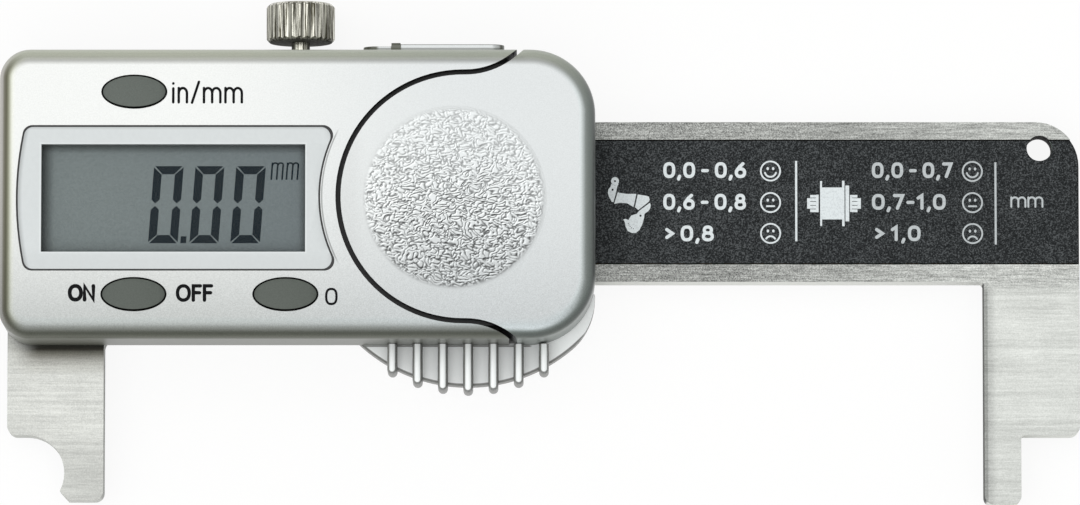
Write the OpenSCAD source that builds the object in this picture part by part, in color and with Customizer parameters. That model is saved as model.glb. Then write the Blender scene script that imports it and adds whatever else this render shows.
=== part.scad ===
// Digital chain wear gauge, lying on its back.
// X runs along the beam, Y up across it, Z out of the display. All sizes in millimetres.
// The origin is the middle of the slider's back face.

/* [Beam and fixed jaw] */
// Width of the beam
beam_w = 15.8; // [14.6:0.1:16.6]
// Thickness of the beam and of both jaws
beam_t = 3.5; // [3:0.1:4.2]
// Distance between the two measuring faces at zero
jaw_span = 93.9; // [90:0.1:98]
// Width of the fixed jaw above its step
fixed_jaw_w = 9.4; // [8:0.1:11]
// Width of the fixed jaw's tip
fixed_tip_w = 3.6; // [3:0.1:4.5]
// Depth of the wide part of both jaws below the middle of the beam
jaw_step = 23; // [21:0.1:25]
// Depth of the fixed jaw's tip below the middle of the beam
fixed_jaw_l = 29.85; // [28:0.05:32]
// Radius of the beam's free top corner
beam_corner_r = 4.3; // [3:0.1:5]
// Radius on the outer corners of the jaws
jaw_corner_r = 0.9; // [0.4:0.1:1.4]
// Radius in the inner corners of the fixed jaw
inner_corner_r = 0.35; // [0.2:0.05:0.8]
// Diameter of the hanging hole
hole_d = 2.5; // [2:0.1:3]
// Distance from the hanging hole to the end of the beam
hole_end = 3.87; // [3.4:0.01:4.6]
// Distance from the hanging hole to the top edge of the beam
hole_edge = 2.58; // [2.2:0.01:3.2]

/* [Scale and label] */
// Width of the lane milled in the front of the beam
lane_w = 12.35; // [11:0.05:12.6]
// Depth of the lane
lane_depth = 0.6; // [0.55:0.05:0.9]
// Thickness of the scale board in the lane
strip_t = 0.4; // [0.3:0.05:0.42]
// Thickness of the printed label
label_t = 0.12; // [0.08:0.01:0.13]
// Gap round the label
label_gap = 0.12; // [0.08:0.01:0.2]
// Diameter of the stop screw's thread
stop_d = 1.6; // [1.4:0.1:2]
// Diameter of the stop screw's head
stop_head_d = 3; // [2.6:0.1:3.4]
// Distance from the stop screw to the left end of the beam
stop_end = 7.2; // [5:0.1:9]

/* [Slider frame and moving jaw] */
// Width of the moving jaw
moving_jaw_w = 9.45; // [8.6:0.05:11]
// Depth of the moving jaw's tip below the middle of the beam
moving_jaw_l = 29.4; // [28.4:0.05:31]
// Radius of the roller notch
notch_r = 3.75; // [3.4:0.05:4]
// Depth of the roller notch from the jaw's left edge
notch_depth = 5.63; // [5:0.01:6]
// Thickness of the wall behind the beam
back_wall = 1.5; // [1.3:0.05:2]
// Height of the frame's rails above the front of the beam
rail_step = 0.52; // [0.3:0.02:0.8]
// Running gap between slider and beam
slide_gap = 0.08; // [0.05:0.01:0.1]
// Travel of the slider
slide_travel = 10; // [6:0.5:12]
// Thickness of the gib strip
gib_t = 0.8; // [0.6:0.05:1]
// Distance from the gib strip's ends to the housing's ends
gib_inset = 4.1; // [3.5:0.1:9]
// Diameter of the gib set screws
gib_screw_d = 1.8; // [1.4:0.1:2]
// Distance from the gib set screws to the housing's ends
gib_screw_end = 12.1; // [10:0.1:15]

/* [Housing] */
// Length of the housing
housing_l = 58.2; // [57.8:0.1:60]
// Distance from the coin cell to the housing's long sides
cell_margin = 4.2; // [4.1:0.05:4.7]
// Depth of the housing in front of the frame
housing_h = 7.9; // [7.6:0.1:9]
// Thickness of the housing's side walls
side_wall = 1.2; // [1:0.05:1.4]
// Thickness of the housing's front wall
front_wall = 1.6; // [1.4:0.05:1.8]
// Radius of the left corners
left_corner_r = 3; // [2.4:0.1:4]
// Radius of the right corners
right_corner_r = 6.4; // [5.6:0.1:6.8]
// Radius of the rounded front edge
edge_r = 1.2; // [0.8:0.05:1.5]
// How far the frame stays inside the housing's ends
frame_inset_x = 0.5; // [0.3:0.05:0.8]
// How far the frame stays inside the housing's long sides
frame_inset_y = 0.7; // [0.5:0.05:0.9]
// Diameter of the housing screws
screw_d = 1.6; // [1.4:0.1:1.8]
// Diameter of the housing screws' heads
screw_head_d = 3; // [2.6:0.1:3.2]
// Distance from the housing screws to the housing's ends
screw_end = 5.8; // [5.6:0.1:6.2]

/* [Display] */
// Gap between the lens and the left end of the housing
lens_end = 1.75; // [1.4:0.05:2.2]
// Gap between the lens and the round battery cover
lens_to_cover = 2.05; // [1.8:0.05:2.4]
// Distance from the lens to the housing's long sides
lens_side = 7.125; // [7.025:0.025:7.4]
// Distance of the lens below the middle of the housing
lens_drop = 0.49; // [0.3:0.01:0.6]
// Thickness of the lens
lens_t = 0.85; // [0.6:0.05:1]
// Radius of the lens's curved left side
lens_side_r = 32; // [24:1:50]
// Radius of the lens's corners
lens_corner_r = 0.9; // [0.5:0.1:1.5]
// Radius of the lens's two horns beside the battery cover
horn_r = 0.95; // [0.6:0.05:1.3]
// Border of the lens left of the window
border_left = 2.4; // [2:0.05:2.8]
// Border of the lens right of the window
border_right = 1.4; // [1.3:0.05:1.8]
// Border of the lens above and below the window
border_side = 1.8; // [1.6:0.05:2.2]
// Thickness of the display cell
glass_t = 1.5; // [1.2:0.1:1.8]
// Width of the display cell's edge under each long side
glass_side = 1.2; // [1.1:0.05:1.25]
// Width of the display cell's edge under each short side
glass_end = 0.6; // [0.5:0.05:0.65]
// Wall of the display carrier
carrier_wall = 0.6; // [0.5:0.05:0.65]
// Thickness of the rubber connector strips
connector_w = 1.8; // [1.2:0.1:2]

/* [Buttons] */
// Length of a button
button_l = 6.1; // [5.6:0.1:6.6]
// Width of a button
button_w = 3; // [2.8:0.1:3.5]
// Height of a button's crown above the housing
button_rise = 0.35; // [0.2:0.05:0.6]
// Travel of a button
button_travel = 0.5; // [0.3:0.05:0.6]
// Gap round a button
button_gap = 0.18; // [0.12:0.01:0.2]
// Distance from the left buttons to the left end
button_end = 13.2; // [12:0.1:14]
// Distance between the two lower buttons
button_pitch = 14.8; // [13.6:0.1:15]
// Distance from the buttons to the housing's long edges
button_edge = 4.27; // [4.1:0.01:4.4]
// Height of the snap domes
dome_h = 0.4; // [0.3:0.05:0.5]

/* [Battery and its cover] */
// Diameter of the coin cell
cell_d = 20; // [18:0.1:20.4]
// Thickness of the coin cell
cell_t = 3.2; // [2.5:0.1:3.4]
// Gap round the coin cell
cell_gap = 0.15; // [0.1:0.01:0.25]
// Distance from the middle of the cell to the right end of the housing
cell_end = 12.9; // [12.5:0.05:13.2]
// Distance of the cell below the middle of the housing
cell_drop = 0.33; // [0.2:0.01:0.4]
// Distance from the cover's round tongue to the housing's long sides
cover_side = 2.25; // [2.1:0.05:2.4]
// Width of the groove round the cover
groove_w = 0.5; // [0.4:0.02:0.6]
// Radius of the groove's outward sweep at both edges
sweep_r = 7.65; // [7:0.05:8.2]
// Distance from the middle of the cell to the start of the outward sweep
sweep_x = 0.2; // [0:0.1:0.6]
// Gap between the cover and the housing's deck
cover_gap = 0.15; // [0.1:0.01:0.2]
// Width of the wall round the battery bay
bay_wall = 1.2; // [1:0.05:1.3]
// Width of the cover's guide ribs
guide_w = 0.6; // [0.4:0.05:0.7]
// Height of the cover's guide ribs
guide_h = 0.7; // [0.5:0.05:0.8]
// Thickness of the cell's spring contacts
contact_t = 0.2; // [0.15:0.05:0.3]

/* [Reader board] */
// Thickness of the reader board
board_t = 0.8; // [0.6:0.1:1]
// Gap between the reader board and the housing's side walls
board_gap = 0.35; // [0.25:0.05:0.5]
// Height left above the board for its parts
board_room = 1; // [0.9:0.05:1.2]
// Diameter of the board screws
board_screw_d = 1.4; // [1:0.1:1.5]
// Diameter of the reader chip's cap
chip_d = 5.6; // [4:0.1:6.4]

/* [Lock screw] */
// Distance of the lock screw from the middle of the housing
lock_x = 0.1; // [-1:0.1:1]
// Height of the lock screw's axis above the back face
lock_z = 4; // [3.8:0.05:4.4]
// Diameter of the knurled head
knob_d = 6.76; // [6:0.02:7.4]
// Height of the knurled head
knob_h = 3.84; // [3:0.02:4.2]
// Gap between the knurled head and the housing
knob_lift = 1.66; // [1.4:0.02:2.4]
// Bevel on the rims of the knurled head
knob_bevel = 0.34; // [0.2:0.02:0.5]
// Number of knurl teeth
knurl_n = 28; // [24:1:40]
// Depth of the knurl
knurl_depth = 0.16; // [0.08:0.02:0.24]
// Diameter of the lock screw's thread
lock_d = 1.8; // [1.5:0.05:2]
// Gap between the brass pad and the gib strip when unlocked
pad_gap = 0.2; // [0.2:0.01:0.3]
// Length of the brass pad
pad_l = 1.5; // [1:0.1:2]

/* [Thumb rest] */
// Radius of the thumb rest's curved edge
thumb_r = 15.8; // [15:0.1:17]
// Distance of the curve's centre from the right end of the housing
thumb_end = 12.45; // [11.5:0.05:13]
// How far the plate stands out past the housing's long side
thumb_out = 4; // [3.4:0.1:4.4]
// Thickness of the thumb rest's plate
thumb_t = 2.4; // [1.8:0.1:2.8]
// Wall between the plate's seat and the channel for the beam
seat_wall = 1.22; // [1:0.02:1.6]
// Number of ribs
rib_n = 7; // [5:1:8]
// Distance between ribs
rib_pitch = 2.48; // [2:0.01:2.6]
// Width of a rib
rib_w = 0.95; // [0.8:0.05:1.3]
// How far the ribs stand out past the curved edge
rib_out = 0.8; // [0.5:0.1:1.4]
// How far the ribs stand out in front of the plate
rib_rise = 2.2; // [1:0.1:3]

/* [Data port cover] */
// Distance from the cover's right end to the housing's right end
port_end = 8.9; // [8.7:0.1:9.5]
// Length of the cover
port_l = 13.8; // [12:0.1:14.5]
// Width of the cover, through the depth of the housing
port_w = 4.8; // [4:0.1:5]
// Thickness of the cover
port_t = 0.6; // [0.4:0.05:0.9]
// Height of the cover's grip ridge above it
port_ridge = 0.18; // [0.1:0.02:0.4]
// How far the data port cover's low end lies below its grip
port_step = 0.2; // [0.1:0.05:0.3]
// Travel of the cover
port_travel = 8.5; // [6:0.5:8.5]
// Width of the socket opening
socket_l = 6; // [5:0.1:6.4]
// Height of the socket opening
socket_h = 1.8; // [1.4:0.1:2]

/* [Hidden] */
$fn = 64;
fine = 0.01;
over = 1;
fit = 0.02;

// Heights of the layers
beam_z0 = back_wall + slide_gap;
beam_z1 = beam_z0 + beam_t;
rail_z = beam_z1 + rail_step;
board_z1 = rail_z + board_t;
front_z = rail_z + housing_h;
deck_z1 = front_z - front_wall;
deck_z0 = board_z1 + board_room;
cell_head = 0.3;
cell_z0 = deck_z1 - cell_head - cell_t;
beam_mid_z = beam_z0 + beam_t / 2;

// Outlines of housing and frame
end_x = housing_l / 2;
housing_w = cell_d + 2 * cell_margin;
side_y = housing_w / 2;
frame_x = end_x - frame_inset_x;
frame_y = side_y - frame_inset_y;
frame_left_r = left_corner_r - frame_inset_x;
frame_right_r = right_corner_r - frame_inset_x;

// Beam and jaws
beam_y = beam_w / 2;
lane_y = lane_w / 2;
beam_short = 1.4;
beam_x0 = -frame_x + beam_short;
notch_x = notch_depth - frame_x;
tip_x = notch_x + jaw_span;
fixed_jaw_x0 = tip_x - fixed_tip_w;
beam_x1 = fixed_jaw_x0 + fixed_jaw_w;
moving_jaw_x1 = moving_jaw_w - frame_x;
notch_c = [notch_x - notch_r, -jaw_step - notch_r];
hook_angle = 28;
hook = notch_c + notch_r * [cos(hook_angle), -sin(hook_angle)];
hook_bevel = 0.8;
hole_pos = [beam_x1 - hole_end, beam_y - hole_edge];
stop_x = beam_x0 + stop_end;
stop_l = 2.6;
stop_head_h = back_wall - 0.6;

// Channel, gib and screws of the frame
channel_y0 = -beam_y - slide_gap;
gib_y0 = beam_y + slide_gap;
gib_y1 = gib_y0 + gib_t;
gib_x = end_x - gib_inset;
gib_screw_x = end_x - gib_screw_end;
rail_top_y = (gib_y1 + frame_y) / 2;
rail_low_y = (channel_y0 - frame_y) / 2;
screw_x = end_x - screw_end;
screw_places = [
    [-screw_x, rail_top_y], [screw_x, rail_top_y], [-screw_x, rail_low_y], [screw_x, rail_low_y]
];
screw_top = deck_z1 - 1.4;
boss_wall = 0.7;
boss_r = screw_d / 2 + boss_wall;
head_h = 0.9;
head_sink = 0.1;

// Battery bay and its cover
cell_c = [end_x - cell_end, -cell_drop];
cover_r = side_y - cover_side;
sweep_c_x = cell_c[0] + sweep_x;
guide_wall = 0.9;
guide_gap = 0.1;
guide_back = 2;
guide_front = 1;
guide_y = cell_d / 2 + cell_gap + guide_wall + guide_w / 2;
guide_x0 = cell_c[0] - guide_back;
guide_x1 = end_x - right_corner_r + guide_front;
deck_inset = side_wall + cover_gap;
bay_window = [4, 3];
leaf_w = 2.5;
leaf_slot = [2.2, leaf_w + 0.7];
leaf_slot_in = 0.5;
bay_lip = 0.4;

// Lens, window and display cell
lens_w = housing_w - 2 * lens_side;
lens_c_y = -lens_drop;
lens_x0 = lens_end - end_x;
lens_arc_r = cover_r + lens_to_cover;
lens_x1 = cell_c[0] - lens_arc_r;
lens_gap = 0.06;
lens_sink = 0.05;
window_x0 = lens_x0 + border_left;
window_x1 = lens_x1 - border_right;
window_y = lens_w / 2 - border_side;
glass_x0 = window_x0 - glass_end;
glass_x1 = window_x1 + glass_end;
glass_y = window_y + glass_side;
carrier_gap = 0.05;
carrier_out = carrier_gap + carrier_wall;
connector_y = glass_y - connector_w / 2 - 0.15;
glass_z0 = deck_z1 - glass_t;

// Buttons
left_button_x = button_end - end_x;
button_row_y = side_y - button_edge;
flange_out = 0.45;
flange_t = 0.6;
flange_z1 = deck_z1 - 0.1;
stem_d = 2.4;
stem_z0 = board_z1 + dome_h + button_travel + 0.1;
dome_d = 4.4;
button_places = [
    [left_button_x, button_row_y],
    [left_button_x, -button_row_y],
    [left_button_x + button_pitch, -button_row_y]
];

// Posts for the board screws
post_wall = 0.5;
post_r = board_screw_d / 2 + post_wall;
post_x0 = left_button_x + 6.7;
post_x1 = cell_c[0] - 11.6;
post_places = [
    [post_x0, rail_top_y], [post_x0, rail_low_y], [post_x1, rail_top_y], [post_x1, rail_low_y]
];
post_depth = 3;
board_head_d = board_screw_d + 1;
board_head_h = 0.55;

// Lock screw
pad_y0 = gib_y1 + pad_gap;
pad_y1 = pad_y0 + pad_l;
knob_y0 = side_y + knob_lift;
lock_bore_r = lock_d / 2 + 0.08;

// Thumb rest
thumb_c = [end_x - thumb_end, thumb_r - side_y - thumb_out];
thumb_turn_dx = end_x - right_corner_r - thumb_c[0];
thumb_turn_r = thumb_r - right_corner_r;
thumb_turn_dy = -sqrt(thumb_turn_r * thumb_turn_r - thumb_turn_dx * thumb_turn_dx);
thumb_turn_c = thumb_c + [thumb_turn_dx, thumb_turn_dy];
thumb_angle = atan2(thumb_turn_dy, thumb_turn_dx);
thumb_z0 = rail_z - thumb_t;
seat_y = channel_y0 - seat_wall;
seat_x0 = thumb_c[0] - sqrt(thumb_r * thumb_r - pow(seat_y - thumb_c[1], 2));
rib_x0 = thumb_c[0] - (rib_n - 1) / 2 * rib_pitch;

// Data port cover
port_x0 = end_x - port_end - port_l;
port_rise = 0.7;
port_z0 = rail_z + port_rise;
port_lift = 0.08;
port_y0 = side_y + port_lift;
port_slot_gap = 0.1;
tongue_z = port_z0 + 3.6;
tongue_x0 = port_x0 + 0.7;
tongue_l = 4.4;
lip_t = 0.3;
neck_w = 0.8;
foot_w = 1.4;
foot_t = 0.25;
foot_gap = 0.05;
tongue_y = port_lift + lip_t + foot_gap + foot_t;
socket_in = 2.2;
socket_x0 = port_x0 + socket_in;

// Colours
steel = [0.74, 0.74, 0.72];
silver_paint = [0.82, 0.84, 0.84];
black_print = [0.16, 0.16, 0.17];
board_green = [0.12, 0.36, 0.22];
button_grey = [0.46, 0.48, 0.45];
nickel = [0.66, 0.64, 0.58];
brass = [0.78, 0.62, 0.32];
black_plastic = [0.12, 0.12, 0.13];

// A corner of a square with its rounded part left out. At angle 0 the solid lies up and to the right.
module corner_at(place, angle, r) {
    translate(place) rotate(angle) difference() {
        translate([-fine, -fine]) square(r + fine);
        translate([r, r]) circle(r);
    }
}

// Rectangle from corner to corner
module box2d(low, high) {
    translate(low) square(high - low);
}

// Outline round the middle with left and right corner radii
module slab2d(x, y, left_r, right_r) {
    difference() {
        box2d([-x, -y], [x, y]);
        corner_at([-x, -y], 0, left_r);
        corner_at([x, -y], 90, right_r);
        corner_at([x, y], 180, right_r);
        corner_at([-x, y], 270, left_r);
    }
}

// The housing's outline, moved inward all round
module housing2d(inset) {
    slab2d(end_x - inset, side_y - inset, left_corner_r - inset, right_corner_r - inset);
}

// Section through the housing's rounded front edge, w wide
module edge_section(w) {
    difference() {
        square([w, housing_h]);
        corner_at([w, housing_h], 180, edge_r);
    }
}

// The housing's outer body as one block with its front edge rounded
module housing_block() {
    x0 = left_corner_r - end_x;
    x1 = end_x - right_corner_r;
    left_y = side_y - left_corner_r;
    right_y = side_y - right_corner_r;
    translate([0, 0, rail_z]) {
        for (s = [0, 1]) mirror([0, s, 0]) {
            translate([x0, 0, 0]) rotate([90, 0, 90]) linear_extrude(x1 - x0) edge_section(side_y);
            translate([x0, left_y, 0]) rotate(90) rotate_extrude(angle = 90) edge_section(left_corner_r);
            translate([x1, right_y, 0]) rotate_extrude(angle = 90) edge_section(right_corner_r);
        }
        translate([x0, left_y, 0]) rotate([90, 0, 0]) linear_extrude(2 * left_y)
            mirror([1, 0]) edge_section(left_corner_r);
        translate([x1, right_y, 0]) rotate([90, 0, 0]) linear_extrude(2 * right_y)
            edge_section(right_corner_r);
    }
}

// Plan of the battery cover: a round tongue that sweeps out to both long edges, grown by g
module cover2d(g) {
    r = cover_r + g;
    translate(cell_c) circle(r);
    box2d(cell_c - [0, r], [end_x + over, cell_c[1] + r]);
    for (s = [-1, 1]) difference() {
        y = cell_c[1] + s * r;
        box2d([sweep_c_x, min(y, s * (side_y + over))], [end_x + over, max(y, s * (side_y + over))]);
        translate([sweep_c_x, cell_c[1] + s * (cover_r + sweep_r)]) circle(sweep_r - g);
    }
}

// An ellipse with half axes a and b
module ellipse2d(a, b) {
    polygon([for (i = [0:39]) [a * cos(9 * i), b * sin(9 * i)]]);
}

// Cross recess of a small screw, cut upward from z = 0
module cross_recess(d, depth) {
    for (turn = [0, 90]) rotate(turn) translate([-d / 2, -d / 8, -over]) cube([d, d / 4, depth + over]);
}

// Beam outline with the fixed jaw
module beam2d() {
    difference() {
        union() {
            box2d([beam_x0, -beam_y], [beam_x1, beam_y]);
            box2d([fixed_jaw_x0, -jaw_step], [beam_x1, 0]);
            box2d([fixed_jaw_x0, -fixed_jaw_l], [tip_x, 0]);
            corner_at([fixed_jaw_x0, -beam_y], 180, inner_corner_r);
            corner_at([tip_x, -jaw_step], 270, inner_corner_r);
        }
        corner_at([beam_x1, beam_y], 180, beam_corner_r);
        corner_at([beam_x1, -jaw_step], 90, jaw_corner_r);
        corner_at([tip_x, -fixed_jaw_l], 90, jaw_corner_r);
        corner_at([fixed_jaw_x0, -fixed_jaw_l], 0, jaw_corner_r);
        translate(hole_pos) circle(d = hole_d);
    }
}

module beam() color(steel) difference() {
    translate([0, 0, beam_z0]) linear_extrude(beam_t) beam2d();
    translate([beam_x0 - over, -lane_y, beam_z1 - lane_depth])
        cube([beam_x1 - beam_x0 + 2 * over, lane_w, lane_depth + over]);
    translate([stop_x, 0, beam_z0 - over]) cylinder(h = stop_l - stop_head_h + over, d = stop_d + fit);
}

// Outline of what lies in the lane: it follows the beam's round corner and leaves the hole free
module lane2d() {
    low = [beam_x0, label_gap - lane_y];
    high = [beam_x1 - label_gap, lane_y - label_gap];
    corner_c = [beam_x1 - beam_corner_r, beam_y - beam_corner_r];
    difference() {
        union() {
            box2d(low, [corner_c[0], high[1]]);
            box2d(low, [high[0], corner_c[1]]);
            intersection() {
                box2d(low, high);
                translate(corner_c) circle(beam_corner_r - label_gap);
            }
        }
        translate(hole_pos) circle(d = hole_d);
    }
}

module scale_strip() color(board_green)
    translate([0, 0, beam_z1 - lane_depth]) linear_extrude(strip_t) lane2d();

module scale_label() color(black_print)
    translate([0, 0, beam_z1 - lane_depth + strip_t]) linear_extrude(label_t) lane2d();

module stop_screw() color(nickel) translate([stop_x, 0, beam_z0 - stop_head_h]) difference() {
    union() {
        cylinder(h = stop_head_h, d = stop_head_d);
        cylinder(h = stop_l - 0.1, d = stop_d);
    }
    cross_recess(stop_head_d * 0.6, 0.4);
}

// Moving jaw with the round notch that a chain roller sits in
module moving_jaw2d() {
    difference() {
        union() {
            box2d([-frame_x, -jaw_step], [moving_jaw_x1, -frame_y + over]);
            box2d([notch_c[0], -moving_jaw_l], [moving_jaw_x1, -frame_y + over]);
            corner_at([moving_jaw_x1, -frame_y], 270, jaw_corner_r);
        }
        translate(notch_c) circle(notch_r);
        polygon([
            notch_c, hook, [hook[0] + hook_bevel, -moving_jaw_l],
            [hook[0] + hook_bevel, -moving_jaw_l - over],
            [notch_c[0] - over, -moving_jaw_l - over], [notch_c[0] - over, notch_c[1]]
        ]);
        corner_at([-frame_x, -jaw_step], 0, jaw_corner_r);
        corner_at([moving_jaw_x1, -moving_jaw_l], 90, jaw_corner_r);
    }
}

module slider_frame() color(steel) difference() {
    union() {
        linear_extrude(rail_z) slab2d(frame_x, frame_y, frame_left_r, frame_right_r);
        translate([0, 0, beam_z0]) linear_extrude(beam_t) moving_jaw2d();
    }
    // channel for the beam and the gib strip
    translate([-end_x, channel_y0, back_wall]) cube([housing_l, gib_y1 - channel_y0, rail_z]);
    // seat of the thumb rest
    translate([seat_x0 - 0.1, -side_y - over, thumb_z0])
        cube([end_x, seat_y + side_y + over + 0.1, thumb_t + over]);
    // slot for the stop screw
    translate([0, 0, -over]) linear_extrude(back_wall + 2 * over) stop_slot2d();
    for (p = screw_places) translate(p) {
        translate([0, 0, -over]) cylinder(h = rail_z + 2 * over, d = screw_d + 0.2);
        translate([0, 0, -over]) cylinder(h = head_h + head_sink + over, d = screw_head_d + 0.2);
    }
    for (p = post_places) translate([p[0], p[1], rail_z - board_head_h - 0.1])
        cylinder(h = board_head_h + over, d = board_head_d + 0.3);
    for (s = [-1, 1]) translate([s * gib_screw_x, gib_y1 - over, beam_mid_z])
        rotate([-90, 0, 0]) cylinder(h = side_y, d = gib_screw_d + fit);
    translate([lock_x, gib_y1 - over, lock_z]) rotate([-90, 0, 0]) cylinder(h = side_y, r = lock_bore_r);
}

module stop_slot2d() {
    half = stop_head_d / 2 + 0.15;
    x1 = stop_x + slide_travel;
    box2d([stop_x, -half], [x1, half]);
    for (x = [stop_x, x1]) translate([x, 0]) circle(half);
}

module gib_strip() color(brass)
    translate([-gib_x, gib_y0, back_wall + 0.05]) cube([2 * gib_x, gib_t - fit, beam_z1 - back_wall]);

module gib_screws() color(nickel) for (s = [-1, 1])
    translate([s * gib_screw_x, gib_y1 - fit, beam_mid_z]) rotate([-90, 0, 0]) difference() {
        cylinder(h = frame_y - gib_y1 - 0.8, d = gib_screw_d);
        translate([-gib_screw_d, -0.15, frame_y - gib_y1 - 1.4]) cube([2 * gib_screw_d, 0.3, over]);
    }

// Plan of the thumb rest: a large arc that turns up the end of the housing
module thumb2d() {
    wedge = 2 * right_corner_r;
    difference() {
        intersection() {
            translate(thumb_c) circle(thumb_r);
            box2d([-end_x, -housing_w], [end_x, seat_y]);
        }
        translate(thumb_turn_c) difference() {
            polygon([[0, 0], wedge * [cos(thumb_angle), sin(thumb_angle)], [wedge, -wedge], [wedge, 0]]);
            circle(right_corner_r);
        }
    }
}

// A rib: a bar with a round end and a half-round front
module thumb_rib(x) {
    r = rib_w / 2;
    tip_y = thumb_c[1] - sqrt(pow(thumb_r + rib_out - r, 2) - pow(x - thumb_c[0], 2));
    length = -side_y - fit - tip_y;
    front = thumb_t + rib_rise - r;
    translate([x, tip_y, thumb_z0]) {
        linear_extrude(front) {
            circle(r);
            translate([-r, 0]) square([rib_w, length]);
        }
        translate([0, 0, front]) intersection() {
            union() {
                sphere(r);
                rotate([-90, 0, 0]) cylinder(h = length, r = r);
            }
            translate([-rib_w, -rib_w, 0]) cube([2 * rib_w, length + rib_w, rib_w]);
        }
    }
}

module thumb_rest() color(silver_paint) difference() {
    union() {
        translate([0, 0, thumb_z0]) linear_extrude(thumb_t) thumb2d();
        for (i = [0:rib_n - 1]) thumb_rib(rib_x0 + i * rib_pitch);
    }
    translate([screw_x, rail_low_y, 0]) cylinder(h = rail_z + over, d = screw_d + 0.2);
    translate([post_places[3][0], rail_low_y, 0]) cylinder(h = rail_z + over, d = board_head_d + 0.3);
}

module housing_screws() color(nickel) for (p = screw_places) translate([p[0], p[1], head_sink])
    difference() {
        union() {
            cylinder(h = head_h, d = screw_head_d);
            cylinder(h = screw_top - head_sink - 0.2, d = screw_d);
        }
        cross_recess(screw_head_d * 0.6, 0.45);
    }

module circuit_board() color(board_green) {
    difference() {
        translate([0, 0, rail_z]) linear_extrude(board_t) housing2d(side_wall + board_gap);
        for (p = screw_places) translate([p[0], p[1], 0]) cylinder(h = front_z, r = boss_r + 0.15);
        for (p = post_places) translate([p[0], p[1], 0]) cylinder(h = front_z, d = board_screw_d + 0.2);
    }
    // gold pads behind the data socket
    for (i = [0:3])
        translate([socket_x0 + 0.75 + i * 1.3, side_y - side_wall - board_gap - 1.6, board_z1 - fine])
            cube([0.7, 1.5, 0.06]);
}

module reader_chip() color(black_plastic) translate([(window_x0 + window_x1) / 2, lens_c_y, board_z1])
    intersection() {
        cylinder(h = 0.9, d = chip_d);
        translate([0, 0, 0.9 - chip_d]) sphere(chip_d);
    }

module switch_domes() color(steel) for (p = button_places) translate([p[0], p[1], board_z1])
    intersection() {
        cylinder(h = dome_h, d = dome_d);
        translate([0, 0, dome_h - dome_d * 1.4]) sphere(dome_d * 1.4, $fn = 200);
    }

module board_screws() color(nickel) for (p = post_places)
    translate([p[0], p[1], rail_z - board_head_h]) difference() {
        union() {
            cylinder(h = board_head_h, d = board_head_d);
            cylinder(h = board_head_h + board_t + post_depth - 0.2, d = board_screw_d);
        }
        cross_recess(board_head_d * 0.6, 0.3);
    }

// Spring leaf that rises from the board through the floor of the battery bay
module cell_contact_bottom() color(brass) translate([cell_c[0], cell_c[1] + 0.9, board_z1])
    rotate([90, 0, 0]) linear_extrude(1.8) {
        rise = cell_z0 - board_z1;
        translate([-1.4, 0]) square([2.2, contact_t]);
        polygon([
            [0.8 - contact_t, 0], [0.8, 0], [0.3, rise - contact_t], [0.3 - contact_t, rise - contact_t]
        ]);
        translate([-1.2, rise - contact_t]) square([1.5, contact_t]);
    }

// Spring leaf that stands beside the cell and presses on its rim
module cell_contact_top() color(brass)
    translate([cell_c[0] - cell_d / 2 - fit, cell_c[1] + leaf_w / 2, board_z1])
        rotate([90, 0, 0]) linear_extrude(leaf_w) {
            translate([-1.4, 0]) square([1.4, contact_t]);
            translate([-contact_t, 0]) square([contact_t, cell_z0 - board_z1 + cell_t * 0.8]);
        }

module coin_cell() color(steel) translate([cell_c[0], cell_c[1], cell_z0]) {
    cylinder(h = 0.5, d = cell_d - 2.4);
    translate([0, 0, 0.3]) cylinder(h = cell_t - 0.3, d = cell_d);
}

module connector_strips() color(black_plastic) for (s = [-1, 1])
    translate([glass_x0 + 0.5, lens_c_y + s * connector_y - connector_w / 2, board_z1])
        cube([glass_x1 - glass_x0 - 1, connector_w, glass_z0 - board_z1]);

module display_carrier() color(black_plastic) {
    z0 = board_z1 + 0.4;
    inner_y = glass_y - connector_w - 0.5;
    difference() {
        translate([glass_x0 - carrier_out, lens_c_y - glass_y - carrier_out, z0])
            cube([
                glass_x1 - glass_x0 + 2 * carrier_out, 2 * (glass_y + carrier_out), deck_z1 - z0 - 0.1
            ]);
        translate([glass_x0 - carrier_gap, lens_c_y - glass_y - carrier_gap, glass_z0])
            cube([glass_x1 - glass_x0 + 2 * carrier_gap, 2 * (glass_y + carrier_gap), glass_t]);
        translate([glass_x0 + 1, lens_c_y - inner_y, z0 - over])
            cube([glass_x1 - glass_x0 - 2, 2 * inner_y, deck_z1]);
        for (s = [-1, 1])
            translate([
                glass_x0 + 0.5 - fit, lens_c_y + s * connector_y - connector_w / 2 - fit, z0 - over
            ])
                cube([glass_x1 - glass_x0 - 1 + 2 * fit, connector_w + 2 * fit, deck_z1]);
    }
}

module lcd_glass() color([0.62, 0.66, 0.66])
    translate([glass_x0, lens_c_y - glass_y, glass_z0]) cube([glass_x1 - glass_x0, 2 * glass_y, glass_t]);

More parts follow.
